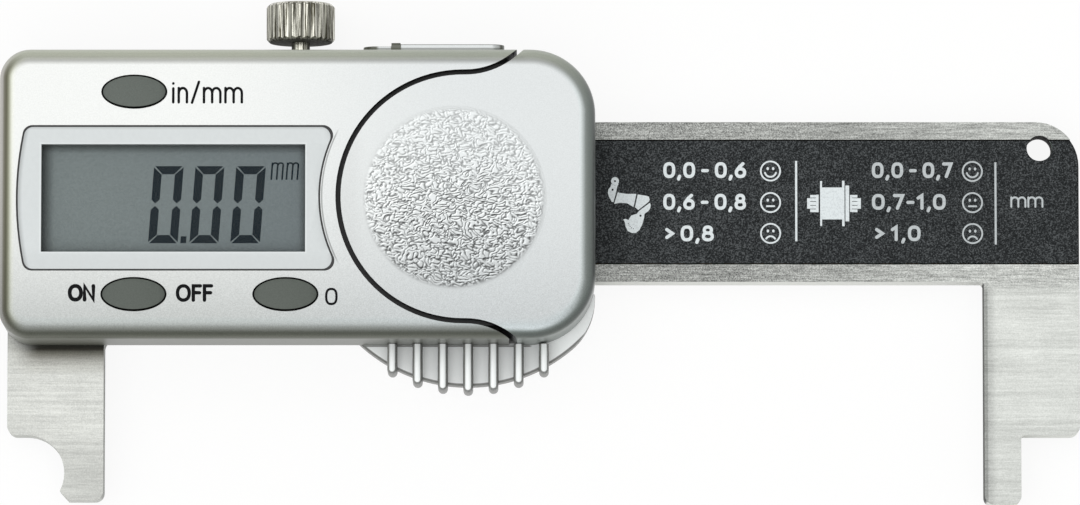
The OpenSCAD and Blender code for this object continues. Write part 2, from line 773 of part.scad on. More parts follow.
// Lens outline: bowed left side, right side hollowed round the battery cover, moved out by g
module lens2d(g) {
    half_w = lens_w / 2 + g;
    far_x = cell_c[0] - sqrt(pow(lens_arc_r - g, 2) - pow(half_w - abs(lens_c_y - cell_c[1]), 2));
    side_c_x = lens_x0 + lens_side_r;
    corner_y = lens_w / 2 - lens_corner_r;
    corner_turn = asin(corner_y / (lens_side_r - lens_corner_r));
    corner_x = side_c_x - (lens_side_r - lens_corner_r) * cos(corner_turn);
    wedge = 3 * lens_corner_r;
    difference() {
        intersection() {
            box2d([lens_x0 - g, lens_c_y - half_w], [far_x, lens_c_y + half_w]);
            translate([side_c_x, lens_c_y]) circle(lens_side_r + g, $fn = 128);
        }
        translate(cell_c) circle(lens_arc_r - g, $fn = 128);
        translate([corner_x, lens_c_y]) for (s = [0, 1]) mirror([0, s]) translate([0, -corner_y])
            difference() {
                polygon([
                    [0, 0], -wedge * [cos(corner_turn), sin(corner_turn)], [-wedge, -wedge], [0, -wedge]
                ]);
                circle(lens_corner_r + g);
            }
        for (s = [-1, 1]) {
            horn_y = lens_c_y + s * (lens_w / 2 - horn_r + fine);
            drop = cell_c[1] - horn_y;
            across = sqrt(pow(lens_arc_r + horn_r - fine, 2) - pow(drop, 2));
            translate([cell_c[0] - across, horn_y]) difference() {
                polygon([
                    [0, 0], [0, s * wedge], [wedge, s * wedge], wedge / lens_arc_r * [across, drop]
                ]);
                circle(horn_r + g);
            }
        }
    }
}

module display_lens() color([0.75, 0.78, 0.78])
    translate([0, 0, front_z - lens_sink - lens_t]) linear_extrude(lens_t) lens2d(0);

// Plan of the deck that holds the battery bay, joined to the housing's walls along the groove
module deck2d() {
    intersection() {
        cover2d(groove_w + bay_wall);
        housing2d(deck_inset);
    }
    intersection() {
        difference() {
            cover2d(groove_w + bay_wall);
            cover2d(groove_w);
        }
        housing2d(side_wall / 2);
    }
}

module front_housing() color(silver_paint) difference() {
    union() {
        difference() {
            housing_block();
            translate([0, 0, rail_z - over]) linear_extrude(deck_z1 - rail_z + over) housing2d(side_wall);
            translate([0, 0, rail_z - over]) linear_extrude(housing_h + 2 * over) cover2d(groove_w);
        }
        translate([0, 0, deck_z0]) linear_extrude(deck_z1 - deck_z0) deck2d();
        for (p = screw_places) translate([p[0], p[1], rail_z])
            cylinder(h = p[0] > 0 ? deck_z0 - rail_z : deck_z1 - rail_z, r = boss_r);
        for (p = post_places) translate([p[0], p[1], board_z1]) cylinder(h = deck_z1 - board_z1, r = post_r);
    }
    // bay for the coin cell, with a window in its floor and a slot for the rim contact
    translate([cell_c[0], cell_c[1], cell_z0]) cylinder(h = front_z, r = cell_d / 2 + cell_gap);
    translate([cell_c[0] - bay_window[0] / 2, cell_c[1] - bay_window[1] / 2, rail_z])
        cube([bay_window[0], bay_window[1], front_z]);
    translate([
        cell_c[0] - cell_d / 2 + leaf_slot_in - leaf_slot[0], cell_c[1] - leaf_slot[1] / 2, rail_z
    ])
        cube([leaf_slot[0], leaf_slot[1], deck_z1 - rail_z - bay_lip]);
    // open grooves for the cover's guide ribs
    for (s = [-1, 1])
        translate([
            guide_x0 - guide_gap, cell_c[1] + s * guide_y - guide_w / 2 - guide_gap,
            deck_z1 - guide_h - cover_gap / 3
        ])
            cube([end_x, guide_w + 2 * guide_gap, over]);
    // display window and the recess of its lens
    translate([window_x0 - 0.2, lens_c_y - window_y - 0.2, deck_z1 - over])
        cube([window_x1 - window_x0 + 0.4, 2 * window_y + 0.4, front_wall + 2 * over]);
    translate([0, 0, front_z - lens_sink - lens_t]) linear_extrude(lens_t + over) lens2d(lens_gap);
    for (p = button_places) translate([p[0], p[1], deck_z1 - over])
        linear_extrude(front_wall + 2 * over) ellipse2d(button_l / 2 + button_gap, button_w / 2 + button_gap);
    for (p = screw_places) translate([p[0], p[1], rail_z - over])
        cylinder(h = screw_top - rail_z + over, d = screw_d + fit);
    for (p = post_places) translate([p[0], p[1], board_z1 - over])
        cylinder(h = post_depth + over, d = board_screw_d + fit);
    // data socket and the guide slot of its cover
    translate([socket_x0, side_y - side_wall - 0.3, board_z1 - 0.1])
        cube([socket_l, side_wall + 0.3 + over, socket_h]);
    for (slot = [[neck_w, lip_t + fine, over], [foot_w, lip_t + foot_t + 2 * foot_gap, -lip_t]])
        translate([
            tongue_x0 - port_slot_gap, side_y - slot[1], tongue_z - slot[0] / 2 - port_slot_gap
        ])
            cube([
                tongue_l + port_travel + 2 * port_slot_gap, slot[1] + slot[2], slot[0] + 2 * port_slot_gap
            ]);
}

// Push button with a low crown, a retaining flange and a stem over its snap dome
module push_button(place) color(button_grey) translate([place[0], place[1], 0]) {
    crown_r = 14;
    intersection() {
        translate([0, 0, flange_z1 - flange_t / 2]) linear_extrude(housing_h)
            ellipse2d(button_l / 2, button_w / 2);
        translate([0, 0, front_z + button_rise - crown_r]) sphere(crown_r, $fn = 128);
    }
    translate([0, 0, flange_z1 - flange_t]) linear_extrude(flange_t)
        ellipse2d(button_l / 2 + flange_out, button_w / 2 + flange_out);
    translate([0, 0, stem_z0]) cylinder(h = flange_z1 - stem_z0, d = stem_d);
}

module unit_button() push_button(button_places[0]);
module power_button() push_button(button_places[1]);
module zero_button() push_button(button_places[2]);

module battery_cover() color(silver_paint) {
    difference() {
        intersection() {
            housing_block();
            translate([0, 0, rail_z + cover_gap]) linear_extrude(housing_h) cover2d(0);
        }
        translate([0, 0, rail_z - over]) linear_extrude(deck_z1 + cover_gap - rail_z + over)
            housing2d(side_wall);
    }
    for (s = [-1, 1])
        translate([guide_x0, cell_c[1] + s * guide_y - guide_w / 2, deck_z1 + cover_gap / 3 - guide_h])
            cube([guide_x1 - guide_x0, guide_w, guide_h + cover_gap]);
}

module data_port_cover() color(silver_paint) translate([port_x0, port_y0, port_z0]) {
    end_l = 1.2;
    ridge_x = 2.75;
    ridge_l = 0.9;
    pad_x = 8.1;
    pad_l = 2.4;
    // thin strip, rounded at both ends and lower at its left end
    difference() {
        rotate([-90, 0, 0]) linear_extrude(port_t) difference() {
            translate([0, -port_w]) square([port_l, port_w]);
            corner_at([0, -port_w], 0, end_l);
            corner_at([port_l, -port_w], 90, end_l);
            corner_at([port_l, 0], 180, end_l);
            corner_at([0, 0], 270, end_l);
        }
        translate([-over, port_t - port_step, -over]) cube([ridge_x + over, port_step + over, port_w + 2 * over]);
    }
    translate([ridge_x, port_t - port_step - fine, 0.4])
        cube([ridge_l, port_ridge + port_step + fine, port_w - 0.8]);
    translate([pad_x, port_t - fine, 0.8]) cube([pad_l, port_ridge / 2 + fine, port_w - 1.6]);
    // tongue with a wide foot that runs in the housing's undercut slot
    for (part = [[neck_w, tongue_y + fine], [foot_w, foot_t]])
        translate([tongue_x0 - port_x0, -tongue_y, tongue_z - port_z0 - part[0] / 2])
            cube([tongue_l, part[1], part[0]]);
}

module lock_pad() color(brass)
    translate([lock_x, pad_y0, lock_z]) rotate([-90, 0, 0]) cylinder(h = pad_l, d = lock_d);

// Plan of the knurled head: straight teeth all round
module knurl2d() {
    polygon([for (i = [0:2 * knurl_n - 1])
        (knob_d / 2 - (i % 2) * knurl_depth) * [cos(180 * i / knurl_n), sin(180 * i / knurl_n)]]);
}

module lock_screw() color(nickel) translate([lock_x, 0, lock_z]) rotate([-90, 0, 0]) {
    translate([0, 0, pad_y1]) cylinder(h = knob_y0 - pad_y1 + fine, d = lock_d);
    translate([0, 0, knob_y0]) intersection() {
        linear_extrude(knob_h) knurl2d();
        rotate_extrude() polygon([
            [0, 0], [knob_d / 2 - knob_bevel, 0], [knob_d / 2, knob_bevel],
            [knob_d / 2, knob_h - knob_bevel], [knob_d / 2 - knob_bevel, knob_h], [0, knob_h]
        ]);
    }
}

beam();
scale_strip();
scale_label();
stop_screw();
slider_frame();
gib_strip();
gib_screws();
thumb_rest();
housing_screws();
circuit_board();
reader_chip();
switch_domes();
board_screws();
cell_contact_bottom();
cell_contact_top();
coin_cell();
connector_strips();
display_carrier();
lcd_glass();
front_housing();
display_lens();
unit_button();
power_button();
zero_button();
battery_cover();
data_port_cover();
lock_pad();
lock_screw();
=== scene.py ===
import math
import bmesh
import bpy
from mathutils import Matrix, Vector, noise


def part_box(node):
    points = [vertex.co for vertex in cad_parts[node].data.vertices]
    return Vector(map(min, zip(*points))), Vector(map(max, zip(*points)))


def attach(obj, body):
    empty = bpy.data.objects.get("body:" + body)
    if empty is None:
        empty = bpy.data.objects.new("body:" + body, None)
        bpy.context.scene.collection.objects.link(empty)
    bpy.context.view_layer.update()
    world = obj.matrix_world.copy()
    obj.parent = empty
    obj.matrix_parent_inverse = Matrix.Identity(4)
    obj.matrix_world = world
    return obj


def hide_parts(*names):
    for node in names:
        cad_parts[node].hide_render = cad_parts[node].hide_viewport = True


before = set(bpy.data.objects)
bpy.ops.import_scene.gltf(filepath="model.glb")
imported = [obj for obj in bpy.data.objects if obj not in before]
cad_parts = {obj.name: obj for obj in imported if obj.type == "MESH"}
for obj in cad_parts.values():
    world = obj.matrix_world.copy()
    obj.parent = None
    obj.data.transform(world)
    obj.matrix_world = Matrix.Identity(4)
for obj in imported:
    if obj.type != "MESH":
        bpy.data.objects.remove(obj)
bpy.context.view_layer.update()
MM = 0.001


# Beam: one blade of stainless steel, cut out with its fixed jaw and ground along its length.
# Its edges are broken by tumbling, so every rim catches a thin line of light.
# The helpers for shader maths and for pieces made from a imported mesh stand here, where they are needed first.

class Wire:
    """One output of a node in a material, so that shader maths reads as plain sums."""

    STORED = 0.8

    def __init__(self, tree, socket=None):
        self.tree = tree
        self.socket = socket

    def node(self, kind, settings=None, sockets=None, out=0):
        made = self.tree.nodes.new(kind)
        for name, value in (settings or {}).items():
            if name == "stops":
                for place, colour in value:
                    stop = made.color_ramp.elements.new(0.5 + place / 4)
                    stop.color = (*colour, 1)
                made.color_ramp.elements.remove(made.color_ramp.elements[0])
                made.color_ramp.elements.remove(made.color_ramp.elements[-1])
                for stop, (place, _) in zip(made.color_ramp.elements, value):
                    stop.position = place
            else:
                setattr(made, name, value)
        for name, value in (sockets or {}).items():
            if isinstance(value, Wire):
                self.tree.links.new(value.socket, made.inputs[name])
            else:
                made.inputs[name].default_value = value
        return Wire(self.tree, made.outputs[out])

    def sums(self, operation, *terms):
        arrows = [t for t in terms if isinstance(t, Wire) and t.socket.type != "VALUE"]
        kind = "ShaderNodeVectorMath" if arrows else "ShaderNodeMath"
        places = dict(enumerate(terms))
        if arrows:
            places = {i: (t,) * 3 if isinstance(t, (int, float)) else t for i, t in places.items()}
        return self.node(kind, {"operation": operation}, places)

    def __add__(self, other):
        return self.sums("ADD", self, other)

    def __radd__(self, other):
        return self.sums("ADD", other, self)

    def __sub__(self, other):
        return self.sums("SUBTRACT", self, other)

    def __rsub__(self, other):
        return self.sums("SUBTRACT", other, self)

    def __mul__(self, other):
        return self.sums("MULTIPLY", self, other)

    def __rmul__(self, other):
        return self.sums("MULTIPLY", other, self)

    def __truediv__(self, other):
        return self.sums("DIVIDE", self, other)

    def __neg__(self):
        return self.sums("MULTIPLY", self, -1)

    def __abs__(self):
        return self.sums("ABSOLUTE", self)

    def low(self, other):
        return self.sums("MINIMUM", self, other)

    def high(self, other):
        return self.sums("MAXIMUM", self, other)

    def held(self, most=1):
        """This value, kept between 0 and most."""
        return self.high(0).low(most)

    def rise(self, start, end):
        """0 before start, 1 after end, smooth between."""
        return self.node("ShaderNodeMapRange", {"interpolation_type": "SMOOTHSTEP"},
                         {"Value": self, "From Min": start, "From Max": end})

    def mix(self, first, second):
        """The first colour where this value is 0, the second where it is 1."""
        colours = [(*c, 1) if isinstance(c, tuple) else c for c in (first, second)]
        return self.node("ShaderNodeMix", {"data_type": "RGBA"},
                         {0: self, 6: colours[0], 7: colours[1]}, out=2)

    def ramp(self, *stops):
        """A row of (place, colour) that this value runs along, stored at a share of their brightness."""
        shades = [(place, tuple(self.STORED * part for part in colour)) for place, colour in stops]
        return 1 / self.STORED * self.node("ShaderNodeValToRGB", {"stops": shades}, {"Fac": self})

    def parts(self):
        return [self.node("ShaderNodeSeparateXYZ", {}, {0: self}, out=i) for i in range(3)]


class Finish:
    """A material under way: its wires, its place in millimetres, its noises and its shader."""

    def __init__(self, name):
        self.material = bpy.data.materials.new(name)
        self.material.use_nodes = True
        self.tree = self.material.node_tree
        self.tree.nodes.clear()
        self.wire = Wire(self.tree)
        self.place = self.wire.node("ShaderNodeTexCoord", out="Object") * 1000
        self.x, self.y, self.z = self.place.parts()

    def facing(self):
        """The three parts of the way the surface faces, in the piece's own frame."""
        return self.wire.node("ShaderNodeTexCoord", out="Normal").parts()

    def noise(self, size, detail=2.0, rough=0.5, stretch=(1, 1, 1), warp=0.0):
        """Cloudy values from 0 to 1, with lumps of about size millimetres, drawn out by stretch."""
        vector = self.place * tuple(1 / (size * s) for s in stretch)
        return self.wire.node("ShaderNodeTexNoise", {}, {
            "Vector": vector, "Scale": 1.0, "Detail": detail, "Roughness": rough, "Distortion": warp})

    def bump(self, height, depth, strength=1.0):
        """A normal from a height of 0 to 1 that stands for depth millimetres."""
        return self.wire.node("ShaderNodeBump", {}, {
            "Height": height, "Distance": depth * MM, "Strength": strength})

    def shade(self, **sockets):
        shader = self.wire.node("ShaderNodeBsdfPrincipled", {}, {
            name.replace("_", " "): (*value, 1) if isinstance(value, tuple) and len(value) == 3 else value
            for name, value in sockets.items()})
        output = self.tree.nodes.new("ShaderNodeOutputMaterial")
        self.tree.links.new(shader.socket, output.inputs["Surface"])
        return self.material


def coat(material, *nodes):
    """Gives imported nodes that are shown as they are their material."""
    for node in nodes:
        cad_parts[node].data.materials[0] = material


def shown(name, shape, finish, body, slot, *stands_for):
    """A piece from a finished bmesh, riding on its body."""
    mesh = bpy.data.meshes.new(name)
    shape.to_mesh(mesh)
    shape.free()
    mesh.materials.append(finish)
    made = bpy.data.objects.new(name, mesh)
    bpy.context.scene.collection.objects.link(made)
    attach(made, body)
    if stands_for:
        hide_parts(*stands_for)
    return made


def soften(made, edge, angle=30, steps=2):
    """Breaks every sharp edge of a piece by edge millimetres."""
    made.data.shade_smooth()
    bevel = made.modifiers.new("broken_edges", "BEVEL")
    bevel.width = edge * MM
    bevel.segments = steps
    bevel.limit_method = "ANGLE"
    bevel.angle_limit = math.radians(angle)
    flats = made.modifiers.new("flat_faces", "WEIGHTED_NORMAL")
    flats.weight = 60
    return made


def softened(node, name, edge, finish, body, slot, angle=30):
    """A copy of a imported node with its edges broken, standing in its place."""
    shape = bmesh.new()
    shape.from_mesh(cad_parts[node].data)
    bmesh.ops.remove_doubles(shape, verts=shape.verts, dist=1e-7)
    bmesh.ops.dissolve_limit(shape, angle_limit=math.radians(0.3), verts=shape.verts, edges=shape.edges)
    return soften(shown(name, shape, finish, body, slot, node), edge, angle)


def grey(level):
    return (level, level * 1.01, level * 0.985)


BACK_TONE = (0.72, 0.72, 0.72)
DEEP_SHADE_BLACK = (0.006, 0.006, 0.006)


def brushed(name, colour, dark, rough, stretch=(16, 1, 1), depth=0.005,
            sides=(0.16, 0.16, 0.16, 0.16), tone_and_shade=None, deep_shade=None):
    """Ground steel: fine scratches, a sparkle and slow changes of tone. Sides are the greys of its left, right,
    lower and upper walls, painted light and shade by the way each faces, tone_and_shade a change of tone
    and painted shade over its front, and deep_shade the places painted black as deep shade."""
    steel = Finish(name)
    streaks = steel.noise(0.12, 2, 0.6, stretch)
    lines = steel.noise(0.35, 2, 0.5, (stretch[0] * 2.5, stretch[1], stretch[2]))
    grain = steel.noise(0.12, 2, 0.6)
    clouds = steel.noise(5, 2)
    tone = 0.5 + 1.2 * (streaks - 0.5) + 1.1 * (lines - 0.5) + 1.5 * (grain - 0.5) + 0.6 * (clouds - 0.5)
    metal = tone.mix(dark, colour)
    across, up, out = steel.facing()
    if tone_and_shade:
        metal = metal * out.rise(0.3, 0.6).mix(BACK_TONE, tone_and_shade(steel, grain, streaks))
    # The walls take painted greys by the way they face, as light and shade.
    upright = across.rise(-0.4, 0.4).mix(grey(sides[0]), grey(sides[1]))
    level = up.rise(-0.4, 0.4).mix(grey(sides[2]), grey(sides[3]))
    walls = abs(up).rise(0.5, 0.8).mix(upright, level)
    flat = abs(out)
    metal = (1 - flat.rise(0.60, 0.97)).mix(metal, walls)
    # Places in deep shade are painted black.
    if deep_shade:
        metal = deep_shade(steel, out).mix(metal, DEEP_SHADE_BLACK)
    ground = flat.rise(0.2, 0.6)
    return steel.shade(
        Base_Color=metal, Metallic=ground, Roughness=0.9 - (0.9 - rough - 0.16 * streaks) * ground,
        Normal=steel.bump(streaks * 0.6 + grain * 0.4, depth))


def reach(finish, x, y):
    """Distance from an upright axis at x, y."""
    return finish.wire.sums("SQRT", (finish.x - x) * (finish.x - x) + (finish.y - y) * (finish.y - y))


def blade_tone_and_shade(steel, grain, streaks):
    """The rails are darker grey towards the slider, and the fixed jaw is bright but for a dark line of painted
    shade along its left side, and a little darker towards its tip.
    """
    low = (-steel.y).rise(0, 0.1)
    rails = 0.395 + 0.045 * steel.x.rise(34, 54) + 0.16 * steel.x.rise(54, 70)
    rails = rails * (1 + low * (0.13 * steel.x.rise(38, 58) - 0.06))
    rails = rails * (1 + (2.8 - 1.7 * steel.x.rise(38, 70)) * (grain - 0.5) + 1.3 * (streaks - 0.5))
    # A dark line of painted shade along the fixed jaw's left edge.
    left_edge_shade = 0.45 + 0.30 * steel.x.rise(67.62, 67.74) + 0.25 * steel.x.rise(67.7, 68.7)
    jaw = (0.83 - 0.06 * (-steel.y).rise(15, 27)) * left_edge_shade
    jaw_share = (-steel.y).rise(7.6, 9.2) * steel.x.rise(64.0, 68.5)
    return jaw_share.mix((0.0, 0.0, 0.0), (1.0, 1.0, 1.0)) * jaw + (1 - jaw_share) * rails


LANE_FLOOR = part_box("scale_strip")[0][2] / MM
LANE_RIM = 5.05
LANE_HALF = 6.22
HOLE_X, HOLE_Y, HOLE_R = 72.88, 5.32, 1.35


def blade_deep_shade(steel, out):
    """The walls of the hanging hole, and of the lane from its floor to its rim, are painted black as deep
    shade.
    """
    hole = 1 - reach(steel, HOLE_X, HOLE_Y).rise(HOLE_R, HOLE_R + 0.07)
    lane = ((1 - abs(steel.y).rise(LANE_HALF, LANE_HALF + 0.05)) * (LANE_RIM - steel.z).rise(0, 0.08)
            * (steel.z - LANE_FLOOR).rise(-0.05, -0.02))
    return (hole * (1 - out.rise(0.6, 0.9))).high(lane)


# The blade's left walls are painted nearly black and its lower walls light, as shade and reflection.
blade_steel = brushed("blade_steel", (0.66, 0.675, 0.655), (0.42, 0.43, 0.415), 0.30,
                      sides=(0.09, 0.40, 0.80, 0.50), tone_and_shade=blade_tone_and_shade, deep_shade=blade_deep_shade)
softened("beam", "beam_blade", 0.05, blade_steel, "beam", "steel")


# Scale strip: the thin glass-epoxy board glued into the blade's lane, whose copper pads the reader counts.
# Only its long sides are seen, under the label.
strip_board = Finish("strip_board")
pads = (strip_board.x / 2.54).sums("FRACT", strip_board.x / 2.54).rise(0.45, 0.5)
weave = strip_board.noise(0.3, 3)
strip_board.shade(
    Base_Color=(pads * 0.7).mix((0.05, 0.16, 0.09), (0.52, 0.30, 0.12)),
    Roughness=0.35 + 0.25 * weave, Normal=strip_board.bump(weave, 0.01))
coat(strip_board.material, "scale_strip")


# Label: black printed film on the strip, with a fine metallic fleck in its lacquer and light grey printing.
# The printing is laid on as a thin film of its own: figures, faces, two pictures and two ruled lines.
# The stroke letters of the whole gauge are made here.
LABEL_TOP = 5.0
PRINT_T = 0.012

label_film = Finish("label_film")
fleck = label_film.noise(0.13, 1, 0.6)
cloud = label_film.noise(2.5, 2)
glint = 0.555 - 0.035 * label_film.x.rise(32, 60) + 1.55 * (fleck - 0.5) + 0.15 * (cloud - 0.5)
label_film.shade(
    Base_Color=glint.ramp((0.28, (0.004, 0.005, 0.006)), (0.42, (0.012, 0.014, 0.016)),
                          (0.52, (0.020, 0.023, 0.025)), (0.62, (0.036, 0.040, 0.043)),
                          (0.75, (0.085, 0.092, 0.098))),
    Roughness=0.55 + 0.2 * fleck, Specular_IOR_Level=0.15, Normal=label_film.bump(fleck, 0.006))
coat(label_film.material, "scale_label")

light_ink = Finish("light_ink")
mottle = light_ink.noise(0.16, 2, 0.6)
right_duller = 1 - 0.30 * light_ink.x.rise(55.4, 56.2)
light_ink.shade(
    Base_Color=mottle.rise(0.25, 0.6).mix((0.60, 0.64, 0.67), (0.74, 0.79, 0.82)) * right_duller,
    Roughness=0.6, Specular_IOR_Level=0.2, Normal=light_ink.bump(mottle, 0.006))


def arc(centre, radii, start, end, steps=20):
    """Points on an ellipse, from one angle to another, in degrees."""
    turns = [math.radians(start + (end - start) * i / steps) for i in range(steps + 1)]
    return [(centre[0] + radii[0] * math.cos(t), centre[1] + radii[1] * math.sin(t)) for t in turns]


def oval(centre, rx, ry, power=2.0, steps=40):
    """A closed ellipse, squarer where power is above 2."""
    points = []
    for i in range(steps):
        turn = 2 * math.pi * i / steps
        c, s = math.cos(turn), math.sin(turn)
        points.append((centre[0] + rx * math.copysign(abs(c) ** (2 / power), c),
                       centre[1] + ry * math.copysign(abs(s) ** (2 / power), s)))
    return points


def ribbon(line, width, closed=False, square=False):
    """The outlines of a pen stroke along a line: one, or an outer and an inner one if it is closed."""
    points = [Vector(p) for p in line]
    count = len(points)
    sides = []
    for i, p in enumerate(points):
        before = points[i - 1] if closed or i else p
        after = points[(i + 1) % count] if closed or i < count - 1 else p
        a, b = (p - before), (after - p)
        a = a.normalized() if a.length else b.normalized()
        b = b.normalized() if b.length else a
        normals = Vector((-a.y, a.x)), Vector((-b.y, b.x))
        mid = (normals[0] + normals[1]).normalized()
        sides.append(mid * (width / 2 / max(0.5, mid.dot(normals[0]))))
    left = [tuple(p + s) for p, s in zip(points, sides)]
    right = [tuple(p - s) for p, s in zip(points, sides)]
    if closed:
        return [left, right]
    caps = []
    if not square:
        for end, side in ((points[-1], sides[-1]), (points[0], -sides[0])):
            first = math.degrees(math.atan2(side.y, side.x))
            caps.append(arc(tuple(end), (width / 2,) * 2, first, first - 180, 8)[1:-1])
    else:
        caps = [[], []]
    return [left + caps[0] + right[::-1] + caps[1]]


def plate(outlines, low, high, shape=None):
    """A flat plate between two heights in millimetres. Outlines after the first are holes, or more plates."""
    shape = shape or bmesh.new()
    levels = []
    for z in (low, high):
        loops = []
        edges = []
        for outline in outlines:
            ring = [shape.verts.new((x * MM, y * MM, z * MM)) for x, y in outline]
            loops.append(ring)
            edges += [shape.edges.new((ring[i - 1], ring[i])) for i in range(len(ring))]
        bmesh.ops.triangle_fill(shape, edges=edges, use_beauty=True)
        levels.append(loops)
    for lower, upper in zip(*levels):
        for i in range(len(lower)):
            shape.faces.new((lower[i - 1], lower[i], upper[i], upper[i - 1]))
    return shape


def tidy_normals(shape):
    bmesh.ops.recalc_face_normals(shape, faces=shape.faces)
    return shape


# Each letter is its width and its strokes, on a height of 1. "o" marks a closed stroke.
LETTERS = {
    "0": (0.66, [("o", oval((0.33, 0.5), 0.33, 0.5, 2.6))]),
    "1": (0.34, [("", [(0.0, 0.80), (0.26, 1.0), (0.26, 0.0)])]),
    "6": (0.62, [("o", oval((0.31, 0.30), 0.31, 0.30, 2.3)),
                 ("", [(0.50, 1.0), (0.24, 0.76), (0.06, 0.50), (0.0, 0.32)])]),
    "7": (0.56, [("", [(0.0, 1.0), (0.56, 1.0), (0.20, 0.0)])]),
    "8": (0.62, [("o", oval((0.31, 0.76), 0.25, 0.24, 2.2)), ("o", oval((0.31, 0.265), 0.31, 0.265, 2.3))]),
    ",": (0.06, [("", [(0.06, 0.02), (-0.02, -0.20)])]),
    "-": (0.34, [("", [(0.0, 0.46), (0.34, 0.46)])]),
    ">": (0.40, [("", [(0.0, 0.80), (0.40, 0.49), (0.0, 0.18)])]),
    "m": (0.96, [("", [(0, 0), (0, 0.74)]),
                 ("", [(0, 0.46)] + arc((0.24, 0.48), (0.24, 0.26), 180, 0, 10)[1:] + [(0.48, 0)]),
                 ("", [(0.48, 0.46)] + arc((0.72, 0.48), (0.24, 0.26), 180, 0, 10)[1:] + [(0.96, 0)])]),
    "n": (0.48, [("", [(0, 0), (0, 0.74)]),
                 ("", [(0, 0.46)] + arc((0.24, 0.48), (0.24, 0.26), 180, 0, 10)[1:] + [(0.48, 0)])]),
    "i": (0.02, [("", [(0, 0), (0, 0.72)]), ("", [(0, 0.97), (0, 0.985)])]),
    "/": (0.40, [("", [(0.0, -0.02), (0.40, 1.06)])]),
    "O": (0.80, [("o", oval((0.40, 0.5), 0.40, 0.5, 2.2))]),
    "N": (0.62, [("", [(0, 0), (0, 1), (0.62, 0), (0.62, 1)])]),
    "F": (0.48, [("", [(0, 0), (0, 1), (0.48, 1)]), ("", [(0, 0.52), (0.42, 0.52)])]),
    "+": (0.60, [("", [(0.3, 0.8), (0.3, 0.2)]), ("", [(0.0, 0.5), (0.6, 0.5)])]),
}


def lettering(shape, words, low, left, bottom, right, top, pen, gap=0.20, space=0.16):
    """Adds printed words that fill the box from left, bottom to right, top, in strokes of a pen's width.
    Each stroke is a hair higher than the last, so that no two tops lie in one plane."""
    tall = top - bottom - pen
    advance = 0.0
    laid = []
    for letter in words:
        if letter == " ":
            advance += space
            continue
        width, strokes = LETTERS[letter]
        laid.append((advance, strokes))
        advance += width + gap
    wide = advance - gap
    stretch = (right - left - pen) / (wide * tall)
    lift = 0.0
    for start, strokes in laid:
        for kind, line in strokes:
            points = [(left + pen / 2 + (start + x) * tall * stretch, bottom + pen / 2 + y * tall)
                      for x, y in line]
            lift += 0.0006
            plate(ribbon(points, pen, closed=kind == "o"), low, low + PRINT_T + lift % 0.004, shape)
    return shape


def face(shape, centre, low, mood):
    """A round face of radius 1.03 mm with a ring, two eyes and a mouth."""
    x, y = centre
    plate(ribbon(oval(centre, 0.95, 0.95, steps=48), 0.16, closed=True), low, low + PRINT_T, shape)
    for side in (-1, 1):
        plate([oval((x + side * 0.27, y + 0.24), 0.12, 0.15, steps=16)], low, low + PRINT_T, shape)
    if mood > 0:
        mouth = arc((x, y - 0.02), (0.56, 0.56), 195, 345, 14)
    elif mood < 0:
        mouth = arc((x, y - 0.78), (0.50, 0.50), 30, 150, 14)
    else:
        mouth = [(x - 0.36, y - 0.36), (x + 0.36, y - 0.36)]
    plate(ribbon(mouth, 0.17), low, low + PRINT_T, shape)


figures = bmesh.new()
for words, box, gap in (
        ("0,0 - 0,6", (35.83, 2.37, 43.99, 3.95), 0.39), ("0,6 - 0,8", (35.82, -0.77, 43.97, 0.82), 0.39),
        ("> 0,8", (36.01, -3.89, 40.80, -2.31), 0.39), ("0,0 - 0,7", (56.35, 2.37, 64.31, 3.93), 0.39),
        ("0,7-1,0", (56.35, -0.77, 63.62, 0.80), 0.36), ("> 1,0", (56.65, -3.87, 61.14, -2.32), 0.39)):
    lettering(figures, words, LABEL_TOP, *box, 0.32, gap=gap, space=0.30)
lettering(figures, "mm", LABEL_TOP, 69.98, -0.56, 73.22, 0.88, 0.18)
for x, heights in ((46.38, (3.07, -0.05, -3.10)), (66.25, (3.03, -0.06, -3.12))):
    for y, mood in zip(heights, (1, 0, -1)):
        face(figures, (x, y), LABEL_TOP, mood)


def bar(x0, x1, low_y, high_y, shape=figures):
    plate([[(x0, low_y), (x1, low_y), (x1, high_y), (x0, high_y)]], LABEL_TOP, LABEL_TOP + PRINT_T, shape)


bar(48.80, 49.01, -3.88, 4.07)
bar(68.42, 68.62, -4.20, 3.93)
shown("label_figures", tidy_normals(figures), light_ink.material, "beam", "black_print")


# Pictures on the label: a rear changer with its lower guide wheel, and a wheel hub between its axle ends.
# Both are plain workshop pictograms, printed in the same light ink.
def drawn(*outlines):
    """A printed shape of the changer, from places on its drawing grid. Outlines after the first are holes."""
    plate([[(30.10 + x * 0.01091, 3.17 - y * 0.01099) for x, y in line] for line in outlines],
          LABEL_TOP, LABEL_TOP + PRINT_T, pictures)


